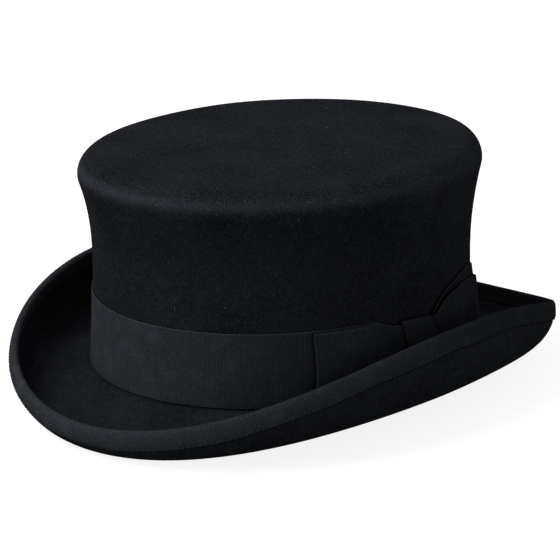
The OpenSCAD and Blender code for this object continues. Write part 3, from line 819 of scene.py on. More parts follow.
def felt_skin():
    """Rings of points over the felt's whole skin, from the tip round the brim's edge to the inside."""
    phi = np.linspace(0, FULL, STATIONS, endpoint=False)[:, None]
    r, start, end, _ = roll_sizes(phi)
    near = bound_from(phi) + GROOVE_AT * GROOVE_HALF / r
    along_flat = steps(STRETCHES["flat"])[:, 1:]
    along_roll = steps(STRETCHES["roll"])[:, 1:-1]
    tip = tip_edge(phi, steps(STRETCHES["tip"]))
    wall = side(phi, steps(STRETCHES["side"])[:, 1:])
    bend = break_bend(phi, steps(STRETCHES["break"])[:, 1:])
    flat = brim_flat(phi, along_flat)
    roll = brim_roll(phi, mix(start, near[:, :1], along_roll))
    sewn = brim_roll(phi, near)
    held = brim_roll(phi, mix(near[:, -1:], end, steps(STRETCHES["held"])[:, 1:]))
    groove = GROOVE * bump(GROOVE_AT)
    bare_side = smooth((wall[1] - BAND_FOOT - BAND_W - BAND_CLEAR) / BARE_OVER)
    off_break = smooth(along_flat / WAVES_FULL_AT)
    off_edge = 1 - smooth((along_roll - WAVES_FADE_FROM) / WAVES_FADE_OVER)
    brim_waves = uneven(phi, BRIM_ALONG)
    shaped = [raised(tip, uneven(phi, tip[1])), raised(wall, uneven(phi, wall[1]) * bare_side), bend,
              raised(flat, brim_waves * off_break), raised(roll, brim_waves * off_edge),
              raised(sewn, -groove), held]
    plain = [tip, wall, bend, flat, roll, raised(sewn, groove), held]
    outer = np.concatenate([sunk(phi, run, 0) for run in shaped], 1)
    inner = np.concatenate([sunk(phi, run, FELT_T) for run in plain], 1)
    edge = edge_round(phi, 0, steps(STRETCHES["edge"])[:, 1:-1])
    shares = steps(TIP_RINGS)[0, 1:-1]
    tops, unders = tip_rings(outer[:, :1], shares, TIP_CROWN), tip_rings(inner[:, :1], shares, 0)
    return np.concatenate([tops, outer, edge, inner[:, ::-1], unders[:, ::-1]], 1)


def closed_skin(name, grid):
    """A closed mesh from rings of points, with its first and last rings closed to a middle point."""
    n, m = grid.shape[:2]
    j, k = grid_corners(n, m, True)
    faces = ((j % n) * m + k).tolist()
    i = np.arange(n)
    first, last = n * m, n * m + 1
    faces += [[first, int(a), int(b)] for a, b in zip(i * m, (i + 1) % n * m)]
    faces += [[last, int(b), int(a)] for a, b in zip(i * m + m - 1, (i + 1) % n * m + m - 1)]
    ends = [grid[:, 0].mean(0), grid[:, -1].mean(0)]
    return make_piece(name, np.concatenate([grid.reshape(-1, 3), ends]), faces)


finish_piece(closed_skin("felt_crown_and_brim", felt_skin()), FELT, "wool_felt", "felt_body")

# %% [markdown]
# ## Ribs and selvedges
# All the ribbons are the same grosgrain. Its ribs are real waves of the mesh, four points to each rib,
# so they catch the light and cast their own fine shadows. Along each selvedge the ribs stop at a thin
# bead where the weft turns back, and the material paints a paler line there, a painted highlight.
# These helpers lay out the rows across a ribbon and say how far its face stands out at each place.

# %% Ribbon helpers
RIB_STEPS = 4
CURVE_POINTS = 6001
SELVEDGE = np.array([0, 0.2, 0.5, 1.0])
RIBS_FROM = 0.3
RIBS_OVER = 0.6
BEAD_DROP = 0.15
BEAD_R = 0.25


def ribbon_rows(width, inner):
    """Distances across a ribbon, with closer rows at its two selvedges."""
    middle = np.linspace(SELVEDGE[-1], width - SELVEDGE[-1], inner + 2)[1:-1]
    return np.concatenate([SELVEDGE, middle, width - SELVEDGE[::-1]])


def rib_wave(n):
    """How high the ribs stand at each of n points along a ribbon, from 0 to 1, as one column."""
    return np.abs(np.sin(math.pi * np.arange(n) / RIB_STEPS))[:, None]


def weave_lift(n, rows):
    """How far ribs and selvedges stand out from a ribbon's face, in millimetres, [station, row]."""
    from_edge = np.minimum(rows, rows[-1] - rows)
    ribs = RIB_DEPTH * (rib_wave(n) - 1) * smooth((from_edge - RIBS_FROM) / RIBS_OVER)
    return ribs - BEAD_DROP * (1 - smooth(from_edge / BEAD_R))


def evenly(curve, first, last):
    """Angles from first to last, evenly spaced along a curve with whole ribs, and the curve's length."""
    phi = np.linspace(first, last, CURVE_POINTS)
    along = lengths(curve(phi))
    count = RIB_STEPS * round(along[-1] / RIB_MM)
    return np.interp(np.linspace(0, along[-1], count + 1), along, phi), along[-1]


def rib_places(count):
    """Distances along a ribbon of points that are a part of a rib apart."""
    return np.arange(count) * RIB_MM / RIB_STEPS


print("rows across the band's ribbon:", np.round(ribbon_rows(BAND_W, 9), 1))

# %% [markdown]
# ## The brim's binding
# A ribbon is folded over the brim's edge and sewn through, so it shows the same width on both faces. It
# could be made by solidifying a strip, but the edge changes slope all the way round, so each station
# wraps its own outline, and its ribs are set square to the edge, as a straight ribbon's would be. The
# lower edges waver a little, and between the stitches they bulge and pucker.

# %% Binding
STITCH_MM = 2.6
PUCKER = 0.16
PUCKER_REACH = 2.2
SCALLOP = 0.35
DRAWN_IN = 0.22
NUDGE = 0.002
LEG_ROWS = np.array([0, 0.04, 0.1, 0.2, 0.38, 0.58, 0.8, 1])
BACK_ROWS = np.linspace(0, 1, 4)
OVER_EDGE = steps(4)[:, 1:-1]


def edge_line(phi):
    """The line along the middle of the brim's edge."""
    return edge_round(phi, 0, 0.5)


def on_leg(phi, share, depth, bulge=0.0):
    """Points on a leg of the binding, at shares of the way from its lower edge to the brim's edge."""
    r, _, end, _ = roll_sizes(phi)
    return sunk(phi, brim_roll(phi, mix(bound_from(phi) - bulge / r, end, share)), depth)


def square_on(phi, share, depth):
    """Angles that set the points of a leg square to the brim's edge, where a ribbon's ribs would lie."""
    way = edge_line(phi + NUDGE) - edge_line(phi - NUDGE)
    leg = on_leg(phi, share, depth) - on_leg(phi, 1.0, depth)
    return phi - 2 * NUDGE * (leg * way).sum(-1) / (way * way).sum(-1)


def binding_grid(phi, along, over, weave, rows):
    """Points of the binding's wrap, from its lower edge on top over the brim's edge to the one beneath."""
    loose = np.sin(math.pi * along / STITCH_MM) ** 2
    near_edge = 1 - smooth(rows * BIND_W / PUCKER_REACH)
    drawn = (PUCKER * loose - DRAWN_IN) * near_edge
    ribs = weave * RIB_DEPTH * (rib_wave(len(phi)) - 1)
    lift = over + drawn + ribs * smooth((rows * BIND_W - RIBS_FROM) / RIBS_OVER)
    top = on_leg(square_on(phi, rows, 0), rows, -lift, SCALLOP * loose)
    fold = edge_round(phi, over + ribs, OVER_EDGE)
    under = on_leg(square_on(phi, rows, FELT_T), rows, FELT_T + lift, SCALLOP * loose)
    return np.concatenate([top, fold, under[:, ::-1]], 1)


edge_angles, edge_len = evenly(edge_line, 0, FULL)
bind_phi = edge_angles[:-1, None]
bind_along = np.linspace(0, edge_len, len(edge_angles))
stitch_count = round(edge_len / STITCH_MM)
puckered = bind_along[:-1, None] * stitch_count * STITCH_MM / edge_len
face = binding_grid(bind_phi, puckered, LAY_GAP + RIBBON_T, 1, LEG_ROWS)
back = binding_grid(bind_phi, puckered, LAY_GAP, 0, BACK_ROWS)
fold_rows = BIND_W + (FELT_T + RIBBON_T) * math.pi / 2 * OVER_EDGE[0]
far_rows = fold_rows[-1] + fold_rows[0] - BIND_W * LEG_ROWS[::-1]
bind_rows = np.concatenate([BIND_W * LEG_ROWS, fold_rows, far_rows])
binding = sew_sheet("binding_ribbon", face, back, True, rib_places(len(edge_angles)), bind_rows)
finish_piece(binding, GROSGRAIN, "grosgrain_ribbon", "brim_binding")
print("edge of the brim", round(edge_len), "mm,", stitch_count, "stitches")

# %% [markdown]
# ## Stitches
# Each stitch is a short length of thread that comes up through the cloth, lies over it and goes down
# again. A curve with a bevel would do for one, but there are hundreds, so one small arched tube is
# copied to every place in a single mesh.

# %% Stitch helper
TUBE_SIDES = 6
ARCH = np.array([-0.6, 0.15, 0.4, 0.15, -0.6])
TAPER = np.array([0.5, 0.95, 1, 0.95, 0.5])


def unit(v):
    """Ways of length 1."""
    return v / np.linalg.norm(v, axis=-1, keepdims=True)


def stitches(name, middles, ways, outs, length, width):
    """Arched tubes at middles, along ways, standing on a surface that faces outs, in millimetres."""
    ways, outs = unit(ways), unit(outs)
    sides = np.cross(ways, outs)
    r = width / 2
    a = np.arange(TUBE_SIDES) * FULL / TUBE_SIDES
    along = (np.linspace(-0.5, 0.5, len(ARCH)) * length)[:, None] * np.ones(TUBE_SIDES)
    across = TAPER[:, None] * r * np.cos(a)
    up = ARCH[:, None] * width + TAPER[:, None] * r * np.sin(a)
    shape = [part.ravel()[None, :, None] for part in (along, across, up)]
    points = middles[:, None]
    for part, way in zip(shape, (ways, sides, outs)):
        points = points + part * way[:, None]
    j, k = grid_corners(TUBE_SIDES, len(ARCH), True)
    one = (k * TUBE_SIDES + j % TUBE_SIDES).tolist()
    one += [list(range(TUBE_SIDES)), [(len(ARCH) - 1) * TUBE_SIDES + i for i in range(TUBE_SIDES)][::-1]]
    size = TUBE_SIDES * len(ARCH)
    faces = [[c + i * size for c in f] for i in range(len(middles)) for f in one]
    return make_piece(name, points.reshape(-1, 3), faces)


print("one stitch has", TUBE_SIDES * len(ARCH), "points")

# %% The binding's stitches
STITCH_LEN = 1.4
THREAD_D = 0.36
INSET = 1.7
RHYTHMS = (2.3, 1.7, 2.9)  # how fast spacing, inset and slant come and go from stitch to stitch
SPACING_OFF = 0.12
INSET_OFF = 0.2
SLANT = 0.12
PROBE_TURN = 0.004
PROBE_DEPTH = 0.5


def binding_stitches():
    """Places, ways and facings of a running stitch along both lower edges of the binding."""
    n = np.arange(stitch_count)
    spacing, nearness, tilt = [np.sin(rate * n) for rate in RHYTHMS]
    s = (n + SPACING_OFF * spacing) * edge_len / stitch_count
    phi = np.interp(s, bind_along, edge_angles)[:, None]
    inset = (INSET + INSET_OFF * nearness)[:, None]
    slant = (SLANT * tilt)[:, None]
    out_by = LAY_GAP + RIBBON_T - DRAWN_IN / 4
    rows = []
    for depth, sign in ((-out_by, 1), (FELT_T + out_by, -1)):
        spots = []
        for angle, shift in ((phi - PROBE_TURN, -slant), (phi + PROBE_TURN, slant)):
            share = (inset + shift) / BIND_W
            angle = square_on(angle, share, depth)
            spots.append(on_leg(angle, share, depth)[:, 0])
            deeper = on_leg(angle, share, depth + PROBE_DEPTH)[:, 0]
        rows.append(((spots[0] + spots[1]) / 2, spots[1] - spots[0], sign * (spots[1] - deeper)))
    return [np.concatenate(parts) for parts in zip(*rows)]


sewing = stitches("binding_stitches", *binding_stitches(), STITCH_LEN, THREAD_D)
finish_piece(sewing, THREAD, "grosgrain_ribbon")

# %% [markdown]
# ## The hat band
# The band is one ribbon round the foot of the crown. Its ends meet under the knot of the bow, which
# draws the ribbon in to three quarters of its width and lifts it off the felt. A Shrinkwrap modifier
# could lay a strip on the felt, but here each station takes its place from the crown's outline, so the
# gap under the ribbon is the same all round, apart from the knot.

# %% How the knot pulls the ribbon
KNOT_W = 22.0
KNOT_PINCH = 5.3
GATHER_LEN = 11.0
OPENING_LEN = 17.0
EASED = 1.3
KNOT_LIFT = RIBBON_T + LAY_GAP
KNOT_AT = -2.5
KNOT_LEAN = 0.4
LEAN_LEN = 28.0
BOW_RADIUS = CROWN_LEN / 2  # turns a distance along the band at the bow into an angle


def gather(s, length=GATHER_LEN):
    """How strongly the knot holds the ribbon, at a distance from the knot's middle."""
    return 1 - smooth((np.abs(s) - KNOT_W / 2) / length)


def ahead(s):
    """From 0 at the knot's rear edge to 1 at its front edge."""
    return clamp01(0.5 - s / KNOT_W)


def half_width(s):
    """Half the ribbon's width: the knot pinches it, a little less at its front edge than behind."""
    pinch = KNOT_PINCH - EASED * ahead(s)
    return BAND_W / 2 - pinch * gather(s, OPENING_LEN)


def band_lift(s):
    """How far the band's back lies off the felt: at the knot, its wrap passes between them."""
    return LAY_GAP + KNOT_LIFT * gather(s)


def leaning(s):
    """How far the ribs lean backwards for each millimetre down: the knot leans, and pulls them along."""
    return KNOT_LEAN * (1 - smooth((np.abs(s) - KNOT_W / 2) / LEAN_LEN))


def on_bow(s, out, z):
    """Points on the crown's side, at a distance along it from the knot's middle."""
    along = KNOT_AT + s - leaning(s) * (z - BAND_MID)
    return on_side(BOW_AT + along / BOW_RADIUS, z, out)


print("under the knot the ribbon is", round(2 * float(half_width(0.0)), 1), "mm wide")

# %% Band
JOINT_GAP = 0.5
BAND_ROWS = 9
ROUND_HAT = FULL * BOW_RADIUS


def from_knot(s):
    """Distances once round the hat, turned into distances behind the knot or, less than 0, ahead of it."""
    return np.where(s > ROUND_HAT / 2, s - ROUND_HAT, s)


def band_line(s):
    """The line along the middle of the band's face."""
    return on_bow(from_knot(s), LAY_GAP + RIBBON_T, BAND_MID)


def band_grids():
    """Face and back of the band, places along it, its length and its rows."""
    places, length = evenly(band_line, JOINT_GAP / 2, ROUND_HAT - JOINT_GAP / 2)
    s = from_knot(places)[:, None]
    rows = ribbon_rows(BAND_W, BAND_ROWS)
    z = BAND_MID + half_width(s) * (1 - 2 * rows / BAND_W)
    face = on_bow(s, band_lift(s) + RIBBON_T + weave_lift(len(s), rows), z)
    ends = [0, len(rows) // 2, -1]
    back = on_bow(s, band_lift(s), z[:, ends])
    return face, back, rib_places(len(s)), length, rows


face, back, places, band_len, rows = band_grids()
band = sew_sheet("band_ribbon", face, back, False, places, rows)
finish_piece(band, GROSGRAIN, "grosgrain_ribbon", "hat_band")
print("band", round(band_len), "mm long")

# %% [markdown]
# ## The bow
# The bow is one ribbon too. It starts under the knot, runs forward, folds back over itself into a flat
# front loop, passes under the knot and makes a puffed rear loop in the same way. Such a ribbon can be
# simulated as cloth, but its thin layers would tangle, so its path is laid out as a line of points that
# is then walked in steps of a quarter of a rib. Beside the knot the face breaks into pleats.

# %% Bow path
LAYER_POINTS = 400
FOLD_POINTS = 24
DENT_AT = 0.57
DENT_LEN = 0.22
PLEAT = 0.7
PLEAT_LEN = 15.0
PLEAT_RISE = 4
NIPPED = 0.4
# Each loop: the way it runs from the knot, its length, its fold's radius, how it puffs, where that is
# fullest and how it is dented, how its inner and outer layers rise and arch, and how its top is nipped in
FRONT = {"way": -1, "length": 61.8, "fold_r": 1.0, "puff": 1.6, "skew": 1.0, "dent": 0.0,
         "rise_in": -0.8, "rise_out": -0.8, "arch_in": 0.0, "arch_out": 0.0, "nip": 0.0}
REAR = {"way": 1, "length": 65.0, "fold_r": 1.9, "puff": 2.2, "skew": 0.6, "dent": 2.4,
        "rise_in": 6.5, "rise_out": 0.0, "arch_in": 4.6, "arch_out": 3.4, "nip": NIPPED}


def inner_out(s):
    """How far out the middle of the bow's inner layer lies."""
    return band_lift(s) + RIBBON_T + LAY_GAP + RIBBON_T / 2


def loop_layer(loop, layer):
    """A layer of a loop, knot to fold: along, out, height, and how puffed, pleated and nipped it is."""
    s = np.linspace(JOINT_GAP / 2, loop["length"] - loop["fold_r"], LAYER_POINTS)
    x = clamp01((s - KNOT_W / 2) / (loop["length"] - loop["fold_r"] - KNOT_W / 2))
    thin = RIBBON_T + LAY_GAP
    apart = mix(thin, 2 * loop["fold_r"], smooth(x)) + loop["puff"] * np.sin(math.pi * x ** loop["skew"])
    apart -= loop["dent"] * bump((x - DENT_AT) / DENT_LEN)
    z = BAND_MID + loop["rise_" + layer] * smooth(x) + loop["arch_" + layer] * np.sin(math.pi * x)
    is_face = layer == "out"
    past_knot = (s - KNOT_W / 2) / PLEAT_LEN
    pleated = is_face * PLEAT * smooth(past_knot * PLEAT_RISE) * (1 - smooth(past_knot))
    nipped = is_face * loop["nip"] * apart * smooth(x)
    out = inner_out(s) + is_face * apart
    return np.stack([loop["way"] * s, out, z, is_face * (apart - thin), pleated, nipped], 1)


def loop_fold(loop):
    """The fold at the end of a loop, from its inner to its outer layer, in the columns of a layer."""
    a = np.linspace(-UP, UP, FOLD_POINTS)[1:-1]
    r, length = loop["fold_r"], loop["length"]
    s, out = length - r + r * np.cos(a), inner_out(length) + r + r * np.sin(a)
    z = BAND_MID + mix(loop["rise_in"], loop["rise_out"], smooth((a + UP) / UP))
    return np.stack([loop["way"] * s, out, z, 0 * a, 0 * a, loop["nip"] * r * (1 + np.sin(a))], 1)


def bow_path():
    """The whole ribbon's path: from the knot round the front loop, then the rear loop, and back."""
    front = [loop_layer(FRONT, "in"), loop_fold(FRONT), loop_layer(FRONT, "out")[::-1]]
    rear = [loop_layer(REAR, "out"), loop_fold(REAR)[::-1], loop_layer(REAR, "in")[::-1]]
    return np.concatenate(front + rear)


def walk(path, step):
    """Points along a path of rows, a step apart in its first two columns."""
    gaps = np.hypot(*np.diff(path[:, :2], axis=0).T)
    along = np.concatenate([[0], np.cumsum(gaps)])
    at = np.arange(0, along[-1], step)
    return np.stack([np.interp(at, along, column) for column in path.T], 1), along[-1]


def sideways(path):
    """The way to the left of a path, in its first two columns."""
    d = np.gradient(path[:, :2], axis=0)
    return unit(np.stack([-d[:, 1], d[:, 0]], 1))


path, bow_len = walk(bow_path(), RIB_MM / RIB_STEPS)
print("bow ribbon", round(bow_len), "mm long")

# %% Bow
BOW_ROWS = 15
EDGE_DROP = 0.45
NIP_POWER = 1.5
PLEATS_ACROSS = 2.5
PLEAT_SHIFT = 0.12
CORNER_OUT = 1.2


def bow_grids(path, rows):
    """Both faces of the ribbon that stands on edge along the bow's path."""
    across = sideways(path)
    share = 1 - 2 * rows / BAND_W
    z = path[:, 2:3] + half_width(path[:, :1]) * share
    crown = -EDGE_DROP * path[:, 3:4] * share**2 - path[:, 5:6] * np.maximum(share, 0) ** NIP_POWER
    pleats = path[:, 4:5] * (0.5 + 0.5 * np.cos(FULL * PLEATS_ACROSS * (share + PLEAT_SHIFT) / 2))
    half = FRONT["length"] / 2
    stuck_out = CORNER_OUT * smooth(share) * smooth((-path[:, :1] - half) / half)
    grids = []
    for side_of in (1, -1):
        lift = RIBBON_T / 2 + weave_lift(len(path), rows)
        s = path[:, :1] + side_of * lift * across[:, :1] - stuck_out
        out = path[:, 1:2] + side_of * lift * across[:, 1:] + crown + pleats
        grids.append(on_bow(s, out, z))
    return grids


rows = ribbon_rows(BAND_W, BOW_ROWS)
face, back = bow_grids(path, rows)
bow = sew_sheet("bow_loops", face, back, False, rib_places(len(path)), rows)
finish_piece(bow, GROSGRAIN, "grosgrain_ribbon", "bow_ribbon")

# %% [markdown]
# ## The knot
# A short ribbon wraps once round the bow and the band and is sewn behind them. Its ribs run level, as
# the ribbon itself goes up and down. The wrap is a ring with rounded corners that is walked in steps of
# a quarter of a rib, and its face swells over the gathered ribbon inside. Its upper front corner is
# drawn in a little.

# %% Knot
KNOT_SWELL = 0.9
KNOT_CORNER = 0.4
KNOT_TAPER = 2.2
KNOT_ROWS = 8
CORNER_POINTS = 12


def knot_ring():
    """The ring's corner centres and the ways it faces: out, height and facing, clockwise from the top."""
    nearest, farthest = LAY_GAP + RIBBON_T, band_lift(0) + 3 * (RIBBON_T + LAY_GAP)
    corner = KNOT_CORNER * (farthest - nearest)
    half = half_width(0)
    rows = []
    for q in range(4):
        a = UP - UP * (q + np.linspace(0, 1, CORNER_POINTS))
        out = farthest - corner if q < 2 else nearest + corner
        z = half if q in (0, 3) else -half
        rows.append(np.stack([0 * a + out, 0 * a + z, a], 1))
    ring = np.concatenate(rows + [rows[0][:1] - [0, 0, FULL]])
    return ring, corner, farthest


def knot_grids():
    """Face and back of the knot, places along it, its length and its rows."""
    ring, corner, farthest = knot_ring()

    def grown(rows, grow):
        return rows[:, :2] + (corner + grow) * np.stack([np.cos(rows[:, 2]), np.sin(rows[:, 2])], 1)

    along = lengths(grown(ring, RIBBON_T))
    count = RIB_STEPS * round(along[-1] / RIB_MM)
    at = np.linspace(0, along[-1], count + 1)[:-1]
    fine = np.stack([np.interp(at, along, column) for column in ring.T], 1)
    rows = ribbon_rows(KNOT_W, KNOT_ROWS)
    s = KNOT_W / 2 - rows[None, :]
    grids = []
    for grow in (RIBBON_T + weave_lift(count, rows), np.zeros((count, len(rows)))):
        out = fine[:, :1] + (corner + grow) * np.cos(fine[:, 2:])
        z = fine[:, 1:2] + (corner + grow) * np.sin(fine[:, 2:])
        swell = KNOT_SWELL * bump(z / (half_width(0) + corner)) * (fine[:, :1] > farthest - 2 * corner)
        narrowed = KNOT_TAPER * ahead(s) * clamp01(z / half_width(0))
        grids.append(on_bow(s + narrowed, out + swell, BAND_MID + z * half_width(s) / half_width(0)))
    return grids, rib_places(count + 1), along[-1], rows


(face, back), places, knot_len, rows = knot_grids()
knot = sew_sheet("bow_knot_ribbon", face, back, True, places, rows)
finish_piece(knot, GROSGRAIN, "grosgrain_ribbon", "bow_knot")
print("knot ribbon", round(knot_len), "mm round")

# %% [markdown]
# ## Inside: the sweatband
# A strip of thin leather lines the head opening and butts at the back. Inside a hat the layers lie one
# behind the other, so the first cell counts their places inwards from the felt. The leather could be a
# plain strip with a thickness, but it is sewn only along its foot, so its upper part has slow ripples,
# and its rims are rounded. One row of stitches holds the foot, and a zigzag holds the joint.

# %% Layers of the inside
LINING_T = 0.35
SWEAT_W = 38.0
SWEAT_T = 1.0
REED_D = 1.8
WELT_T = 0.4
WELT_FLANGE = 6.0
TAPE_W = 14.0
TAPE_T = 0.25
LINING_OUT = FELT_T + LAY_GAP
LINING_IN = LINING_OUT + LINING_T
TAPE_OUT = LINING_IN + 2 * LAY_GAP
SWEAT_OUT = max(TAPE_OUT + TAPE_T, LINING_OUT + WELT_T) + LAY_GAP
SWEAT_IN = SWEAT_OUT + SWEAT_T
REED_Z = -0.4
WELT_TURN = math.radians(235)
WELT_CHORDS = 4  # the solid's welt goes round the reed in four flat steps, and each has to clear it
WELT_R = (REED_D / 2 + LAY_GAP) / math.cos(WELT_TURN / WELT_CHORDS / 2) + WELT_T / 2
WELT_TOP = REED_Z + WELT_R + WELT_FLANGE
SWEAT_FOOT = REED_Z + WELT_R + WELT_T / 2 + LAY_GAP
BACK_RADIUS = CROWN_WID / 2


def open_angles(count):
    """Angles round the hat that start and end beside the joint at the back, as one column."""
    gap = JOINT_GAP / 2 / BACK_RADIUS
    return np.linspace(BACK_AT + gap, BACK_AT + FULL - gap, count)[:, None]


print("leather from", round(SWEAT_OUT, 2), "to", round(SWEAT_IN, 2), "mm inside the crown's face")

# %% Sweatband
SWEAT_STATIONS = 500
SWEAT_ROWS = 24
RIPPLE = 0.5
FACE_RIPPLE = 0.6
# Each ripple's share, how often it goes round the hat and its start
RIPPLES = ((0.6, 9, 1.0), (0.4, 23, 0.0))
TOP_RIM = np.array([0, 0.25, 0.7])
FOOT_RIM = np.array([1.0, 0.4, 0])
ROWS_FROM = 1.5
TOP_ROUND = 0.45
FOOT_ROUND = 0.3


def sweatband_grids():
    """Face and back of the leather, places along it and its rows."""
    phi = open_angles(SWEAT_STATIONS)
    middle = np.linspace(ROWS_FROM, SWEAT_W - FOOT_RIM[0], SWEAT_ROWS)
    rows = np.concatenate([TOP_RIM, middle, SWEAT_W - FOOT_RIM[1:]])
    z = SWEAT_FOOT + SWEAT_W - rows
    up = 1 - rows / SWEAT_W
    waves = [share * np.sin(times * phi + start) for share, times, start in RIPPLES]
    ripple = RIPPLE * up**2 * sum(waves, 1)
    rim = TOP_ROUND * (1 - smooth(rows / TOP_RIM[-1])) + FOOT_ROUND * smooth(rows - SWEAT_W + FOOT_RIM[0])
    face = on_side(phi, z, -SWEAT_OUT - rim - ripple * FACE_RIPPLE)
    back = on_side(phi, z, -SWEAT_IN + rim - ripple)
    return face, back, lengths(face[:, 0]), rows


face, back, places, rows = sweatband_grids()
sweat_len = places[-1]
sweatband = sew_sheet("sweatband_leather", face, back, False, places, rows)
finish_piece(sweatband, LEATHER, "sweatband_leather", "sweatband")

# %% The sweatband's stitches
FOOT_STITCH_MM = 3.2
FOOT_STITCH_Z = SWEAT_FOOT + 2.6
CROSS_MM = 2.4
CROSS_FROM = SWEAT_FOOT + 5
CROSS_TO = SWEAT_FOOT + SWEAT_W - 1
CROSS_LEAN = 0.8
LEATHER_STITCH_LEN = 2.2
LEATHER_THREAD_D = 0.4
AHEAD_TURN = 0.01


def sweatband_sewing():
    """Places, ways and facings of the stitches along the leather's foot and across its joint."""
    foot = open_angles(round(sweat_len / FOOT_STITCH_MM))[1:-1]
    rise = np.arange(CROSS_FROM, CROSS_TO, CROSS_MM)[:, None]
    tilt = np.where(np.arange(len(rise)) % 2, 1, -1)[:, None]
    phi = np.concatenate([foot, 0 * rise + BACK_AT])
    z = np.concatenate([0 * foot + FOOT_STITCH_Z, rise])
    lean = np.concatenate([0 * foot, CROSS_LEAN * tilt])
    middles = on_side(phi, z, -SWEAT_IN)[:, 0]
    ways = unit(on_side(phi + AHEAD_TURN, z, -SWEAT_IN)[:, 0] - middles) + lean * [0, 0, 1]
    return middles, ways, on_side(phi, z, -SWEAT_IN - 1)[:, 0] - middles


sweat_sewing = stitches("sweatband_stitches", *sweatband_sewing(), LEATHER_STITCH_LEN, LEATHER_THREAD_D)
finish_piece(sweat_sewing, THREAD, "sweatband_leather")

# %% [markdown]
# ## The welt and the reed
# A folded tape, the welt, is sewn behind the leather's lower edge and holds a plastic rod, the reed,
# which springs the opening into its oval. A curve with a bevel would do for the rod, but its line has to
# follow the crown's side at every angle, so rod and tape are both laid out from the crown's outline.

# %% Welt and reed
WELT_STATIONS = 400
WELT_TURN_STEPS = 18
FLANGE_STEPS = 5
FLANGE_FOOT = REED_Z + 0.4
ROD_SIDES = 12


def reed_middle(phi):
    """How far out the reed's middle lies, and its height."""
    out = side_out(phi, BREAK_R)[0] - LINING_OUT - WELT_T / 2 - WELT_R
    return out, REED_Z


def welt_grids():
    """Face and back of the welt, down the crown's side and round the reed, and places along it."""
    phi = open_angles(WELT_STATIONS)
    turn = -WELT_TURN * steps(WELT_TURN_STEPS)
    u, z = reed_middle(phi)
    grids = []
    for depth, r in ((LINING_OUT, WELT_R + WELT_T / 2), (LINING_OUT + WELT_T, WELT_R - WELT_T / 2)):
        flange = on_side(phi, mix(WELT_TOP, FLANGE_FOOT, steps(FLANGE_STEPS)[:, :-1]), -depth)
        grids.append(np.concatenate([flange, place(phi, u + r * np.cos(turn), z + r * np.sin(turn))], 1))
    return grids[0], grids[1], lengths(grids[0][:, 0])


def rod(name, phi, middle, r):
    """A rod of round section along the hat, with flat ends."""
    a = UP - FULL * np.arange(ROD_SIDES)[None, :] / ROD_SIDES
    u, z = middle(phi)
    rings = place(phi, u + r * np.cos(a), z + r * np.sin(a))
    n, m = rings.shape[:2]
    j, k = grid_corners(n, m + 1, False)
    faces = (j * m + k % m).tolist() + [list(range(m - 1, -1, -1)), [(n - 1) * m + i for i in range(m)]]
    return make_piece(name, rings.reshape(-1, 3), faces)


face, back, places = welt_grids()
welt = sew_sheet("welt_tape", face, back, False, places, lengths(face[0]))
finish_piece(welt, TAPE, "cotton_tape", "sweatband_welt")

reed = rod("reed_rod", open_angles(WELT_STATIONS), reed_middle, REED_D / 2)
finish_piece(reed, ROD, "plastic_reed", "sweatband_reed")

# %% [markdown]
# ## The tape behind the joint
# A short tape lies behind the leather where its ends meet, so that the joint doesn't gape. It is a plain
# strip, and a Solidify modifier could thicken it, but it has to fit between leather and lining, so both
# its faces are placed.

# %% Joint tape
TAPE_STATIONS = 21
TAPE_STEPS = 30

tape_foot, tape_top = WELT_TOP + 2 * LAY_GAP, SWEAT_FOOT + SWEAT_W - RIBBON_T
tape_phi = (BACK_AT + np.linspace(-0.5, 0.5, TAPE_STATIONS) * TAPE_W / BACK_RADIUS)[:, None]
tape_z = mix(tape_top, tape_foot, steps(TAPE_STEPS))
face, back = [on_side(tape_phi, tape_z, -depth) for depth in (TAPE_OUT, TAPE_OUT + TAPE_T)]
joint_tape = sew_sheet("joint_tape", face, back, False, lengths(face[:, 0]), lengths(face[0]))
finish_piece(joint_tape, TAPE, "cotton_tape", "sweatband_joint_tape")

# %% [markdown]
# ## The small bow at the back
# A little bow of satin ribbon covers the foot of the sweatband's joint, and shows the wearer which way
# round the hat goes. It is a flat loop drawn in at its middle, walked along its path like the big bow.

# %% Small bow
SMALL_LEN = 30.0
SMALL_W = 10.0
SMALL_PUFF = 1.6
SMALL_PINCH = 0.55
SMALL_T = RIBBON_T / 2
SMALL_Z = SWEAT_FOOT + SWEAT_W / 3
SMALL_ON = SWEAT_IN + 3 * LAY_GAP
SMALL_POINTS = 60
SMALL_FOLD_POINTS = 18
SMALL_STEP = 0.35
SMALL_ROWS = 10


def small_apart(s):
    """How far apart the small bow's two layers lie."""
    return SMALL_T + LAY_GAP + SMALL_PUFF * np.sin(UP * clamp01(np.abs(s) / (SMALL_LEN / 2))) ** 2


def small_half(s):
    """Half the small bow's width, drawn in at its middle."""
    return SMALL_W / 2 * mix(SMALL_PINCH, 1, smooth(np.abs(s) / (SMALL_LEN / 2) * 2))


def small_path():
    """Along and out: from the middle to one fold, back over to the other fold, and to the middle again."""
    half = SMALL_LEN / 2
    r = small_apart(half) / 2
    near = np.linspace(LAY_GAP, half, SMALL_POINTS)
    under = np.stack([near, 0 * near + SMALL_T / 2], 1)
    face_s = np.linspace(-half, half, 2 * SMALL_POINTS)
    over_it = np.stack([face_s, SMALL_T / 2 + small_apart(face_s)], 1)
    a = np.linspace(-UP, UP, SMALL_FOLD_POINTS)[1:-1]
    fold = np.stack([half + r * np.cos(a), SMALL_T / 2 + r + r * np.sin(a)], 1)
    return np.concatenate([under * [-1, 1], fold * [-1, 1], over_it, fold[::-1], under[::-1]])


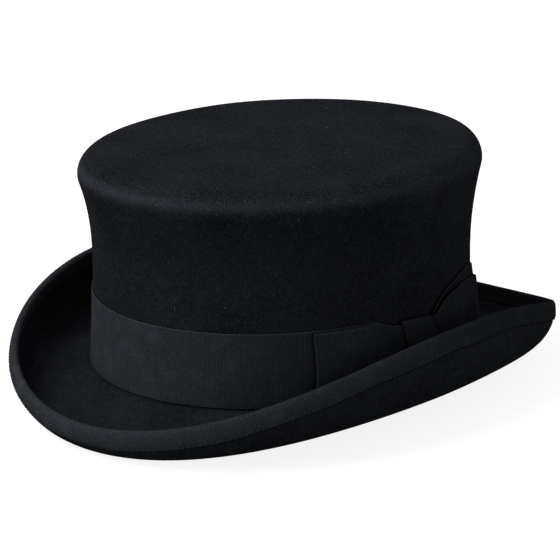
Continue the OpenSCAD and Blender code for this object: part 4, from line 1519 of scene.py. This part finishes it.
small, small_len = walk(small_path(), SMALL_STEP)
z = SMALL_Z + small_half(small[:, :1]) * (1 - 2 * steps(SMALL_ROWS))
grids = []
for side_of in (1, -1):
    p = small + side_of * SMALL_T / 2 * sideways(small)
    grids.append(on_side(BACK_AT - p[:, :1] / BACK_RADIUS, z, -SMALL_ON - p[:, 1:2]))
places = np.arange(len(small)) * SMALL_STEP
small_bow = sew_sheet("small_bow_ribbon", *grids, False, places, lengths(grids[0][0]))
finish_piece(small_bow, SATIN, "satin_ribbon", "sweatband_bow")

# %% [markdown]
# ## The lining
# The lining is satin: a side that is gathered into small pleats where it meets the tip, and a flat oval
# under the tip. A simulation could gather the cloth, but it has no room to move, so sines draw the
# pleats. They only push inwards, because the felt is right behind them.

# %% Lining side
LINING_FOOT = 12.0
LINING_STEPS = 30
LINING_EDGE_STEPS = 10
PLEATS = 72
POINTS_A_PLEAT = 10
PLEAT_IN = 0.7
PLEATS_FROM = 45.0
PLEATS_OVER = 45.0


def lining_grids():
    """Face and back of the lining's side, and places along its lower edge."""
    phi = np.linspace(0, FULL, PLEATS * POINTS_A_PLEAT, endpoint=False)[:, None]
    wall_z = mix(SIDE_TOP, LINING_FOOT, steps(LINING_STEPS)[:, 1:])
    out, facing = side_out(phi, wall_z)
    runs = [tip_edge(phi, steps(LINING_EDGE_STEPS)), (out, wall_z + 0 * phi, facing)]
    whole = [np.concatenate([np.broadcast_arrays(*run)[i] for run in runs], 1) for i in range(3)]
    pleat = PLEAT_IN * np.sin(PLEATS * phi / 2) ** 2 * smooth((whole[1] - PLEATS_FROM) / PLEATS_OVER)
    face = sunk(phi, whole, LINING_OUT + pleat)
    back = sunk(phi, whole, LINING_IN + pleat)
    ring = np.concatenate([face[:, -1], face[:1, -1]])
    return face, back, lengths(ring)


face, back, places = lining_grids()
lining = sew_sheet("lining_side_satin", face, back, True, places, lengths(face[0]))
finish_piece(lining, SATIN, "satin_lining", "lining_side")

# %% Lining tip
OVAL_STATIONS = 240
OVAL_RINGS = np.linspace(0.1, 1, 14)
OVAL_SAG = 0.5


def tip_oval():
    """Rings of points over the flat oval, on top out to its rim and back underneath."""
    phi = np.linspace(0, FULL, OVAL_STATIONS, endpoint=False)[:, None]
    rim = place(phi, tip_edge(phi, 0.0)[0] - LAY_GAP, CROWN_H - LINING_OUT)
    top = tip_rings(rim, OVAL_RINGS, 0)
    low = tip_rings(rim - [0, 0, LINING_T], OVAL_RINGS, -OVAL_SAG)
    return np.concatenate([top, low[:, ::-1]], 1)


lining_tip = closed_skin("lining_tip_satin", tip_oval())
finish_piece(lining_tip, SATIN, "satin_lining", "lining_tip")
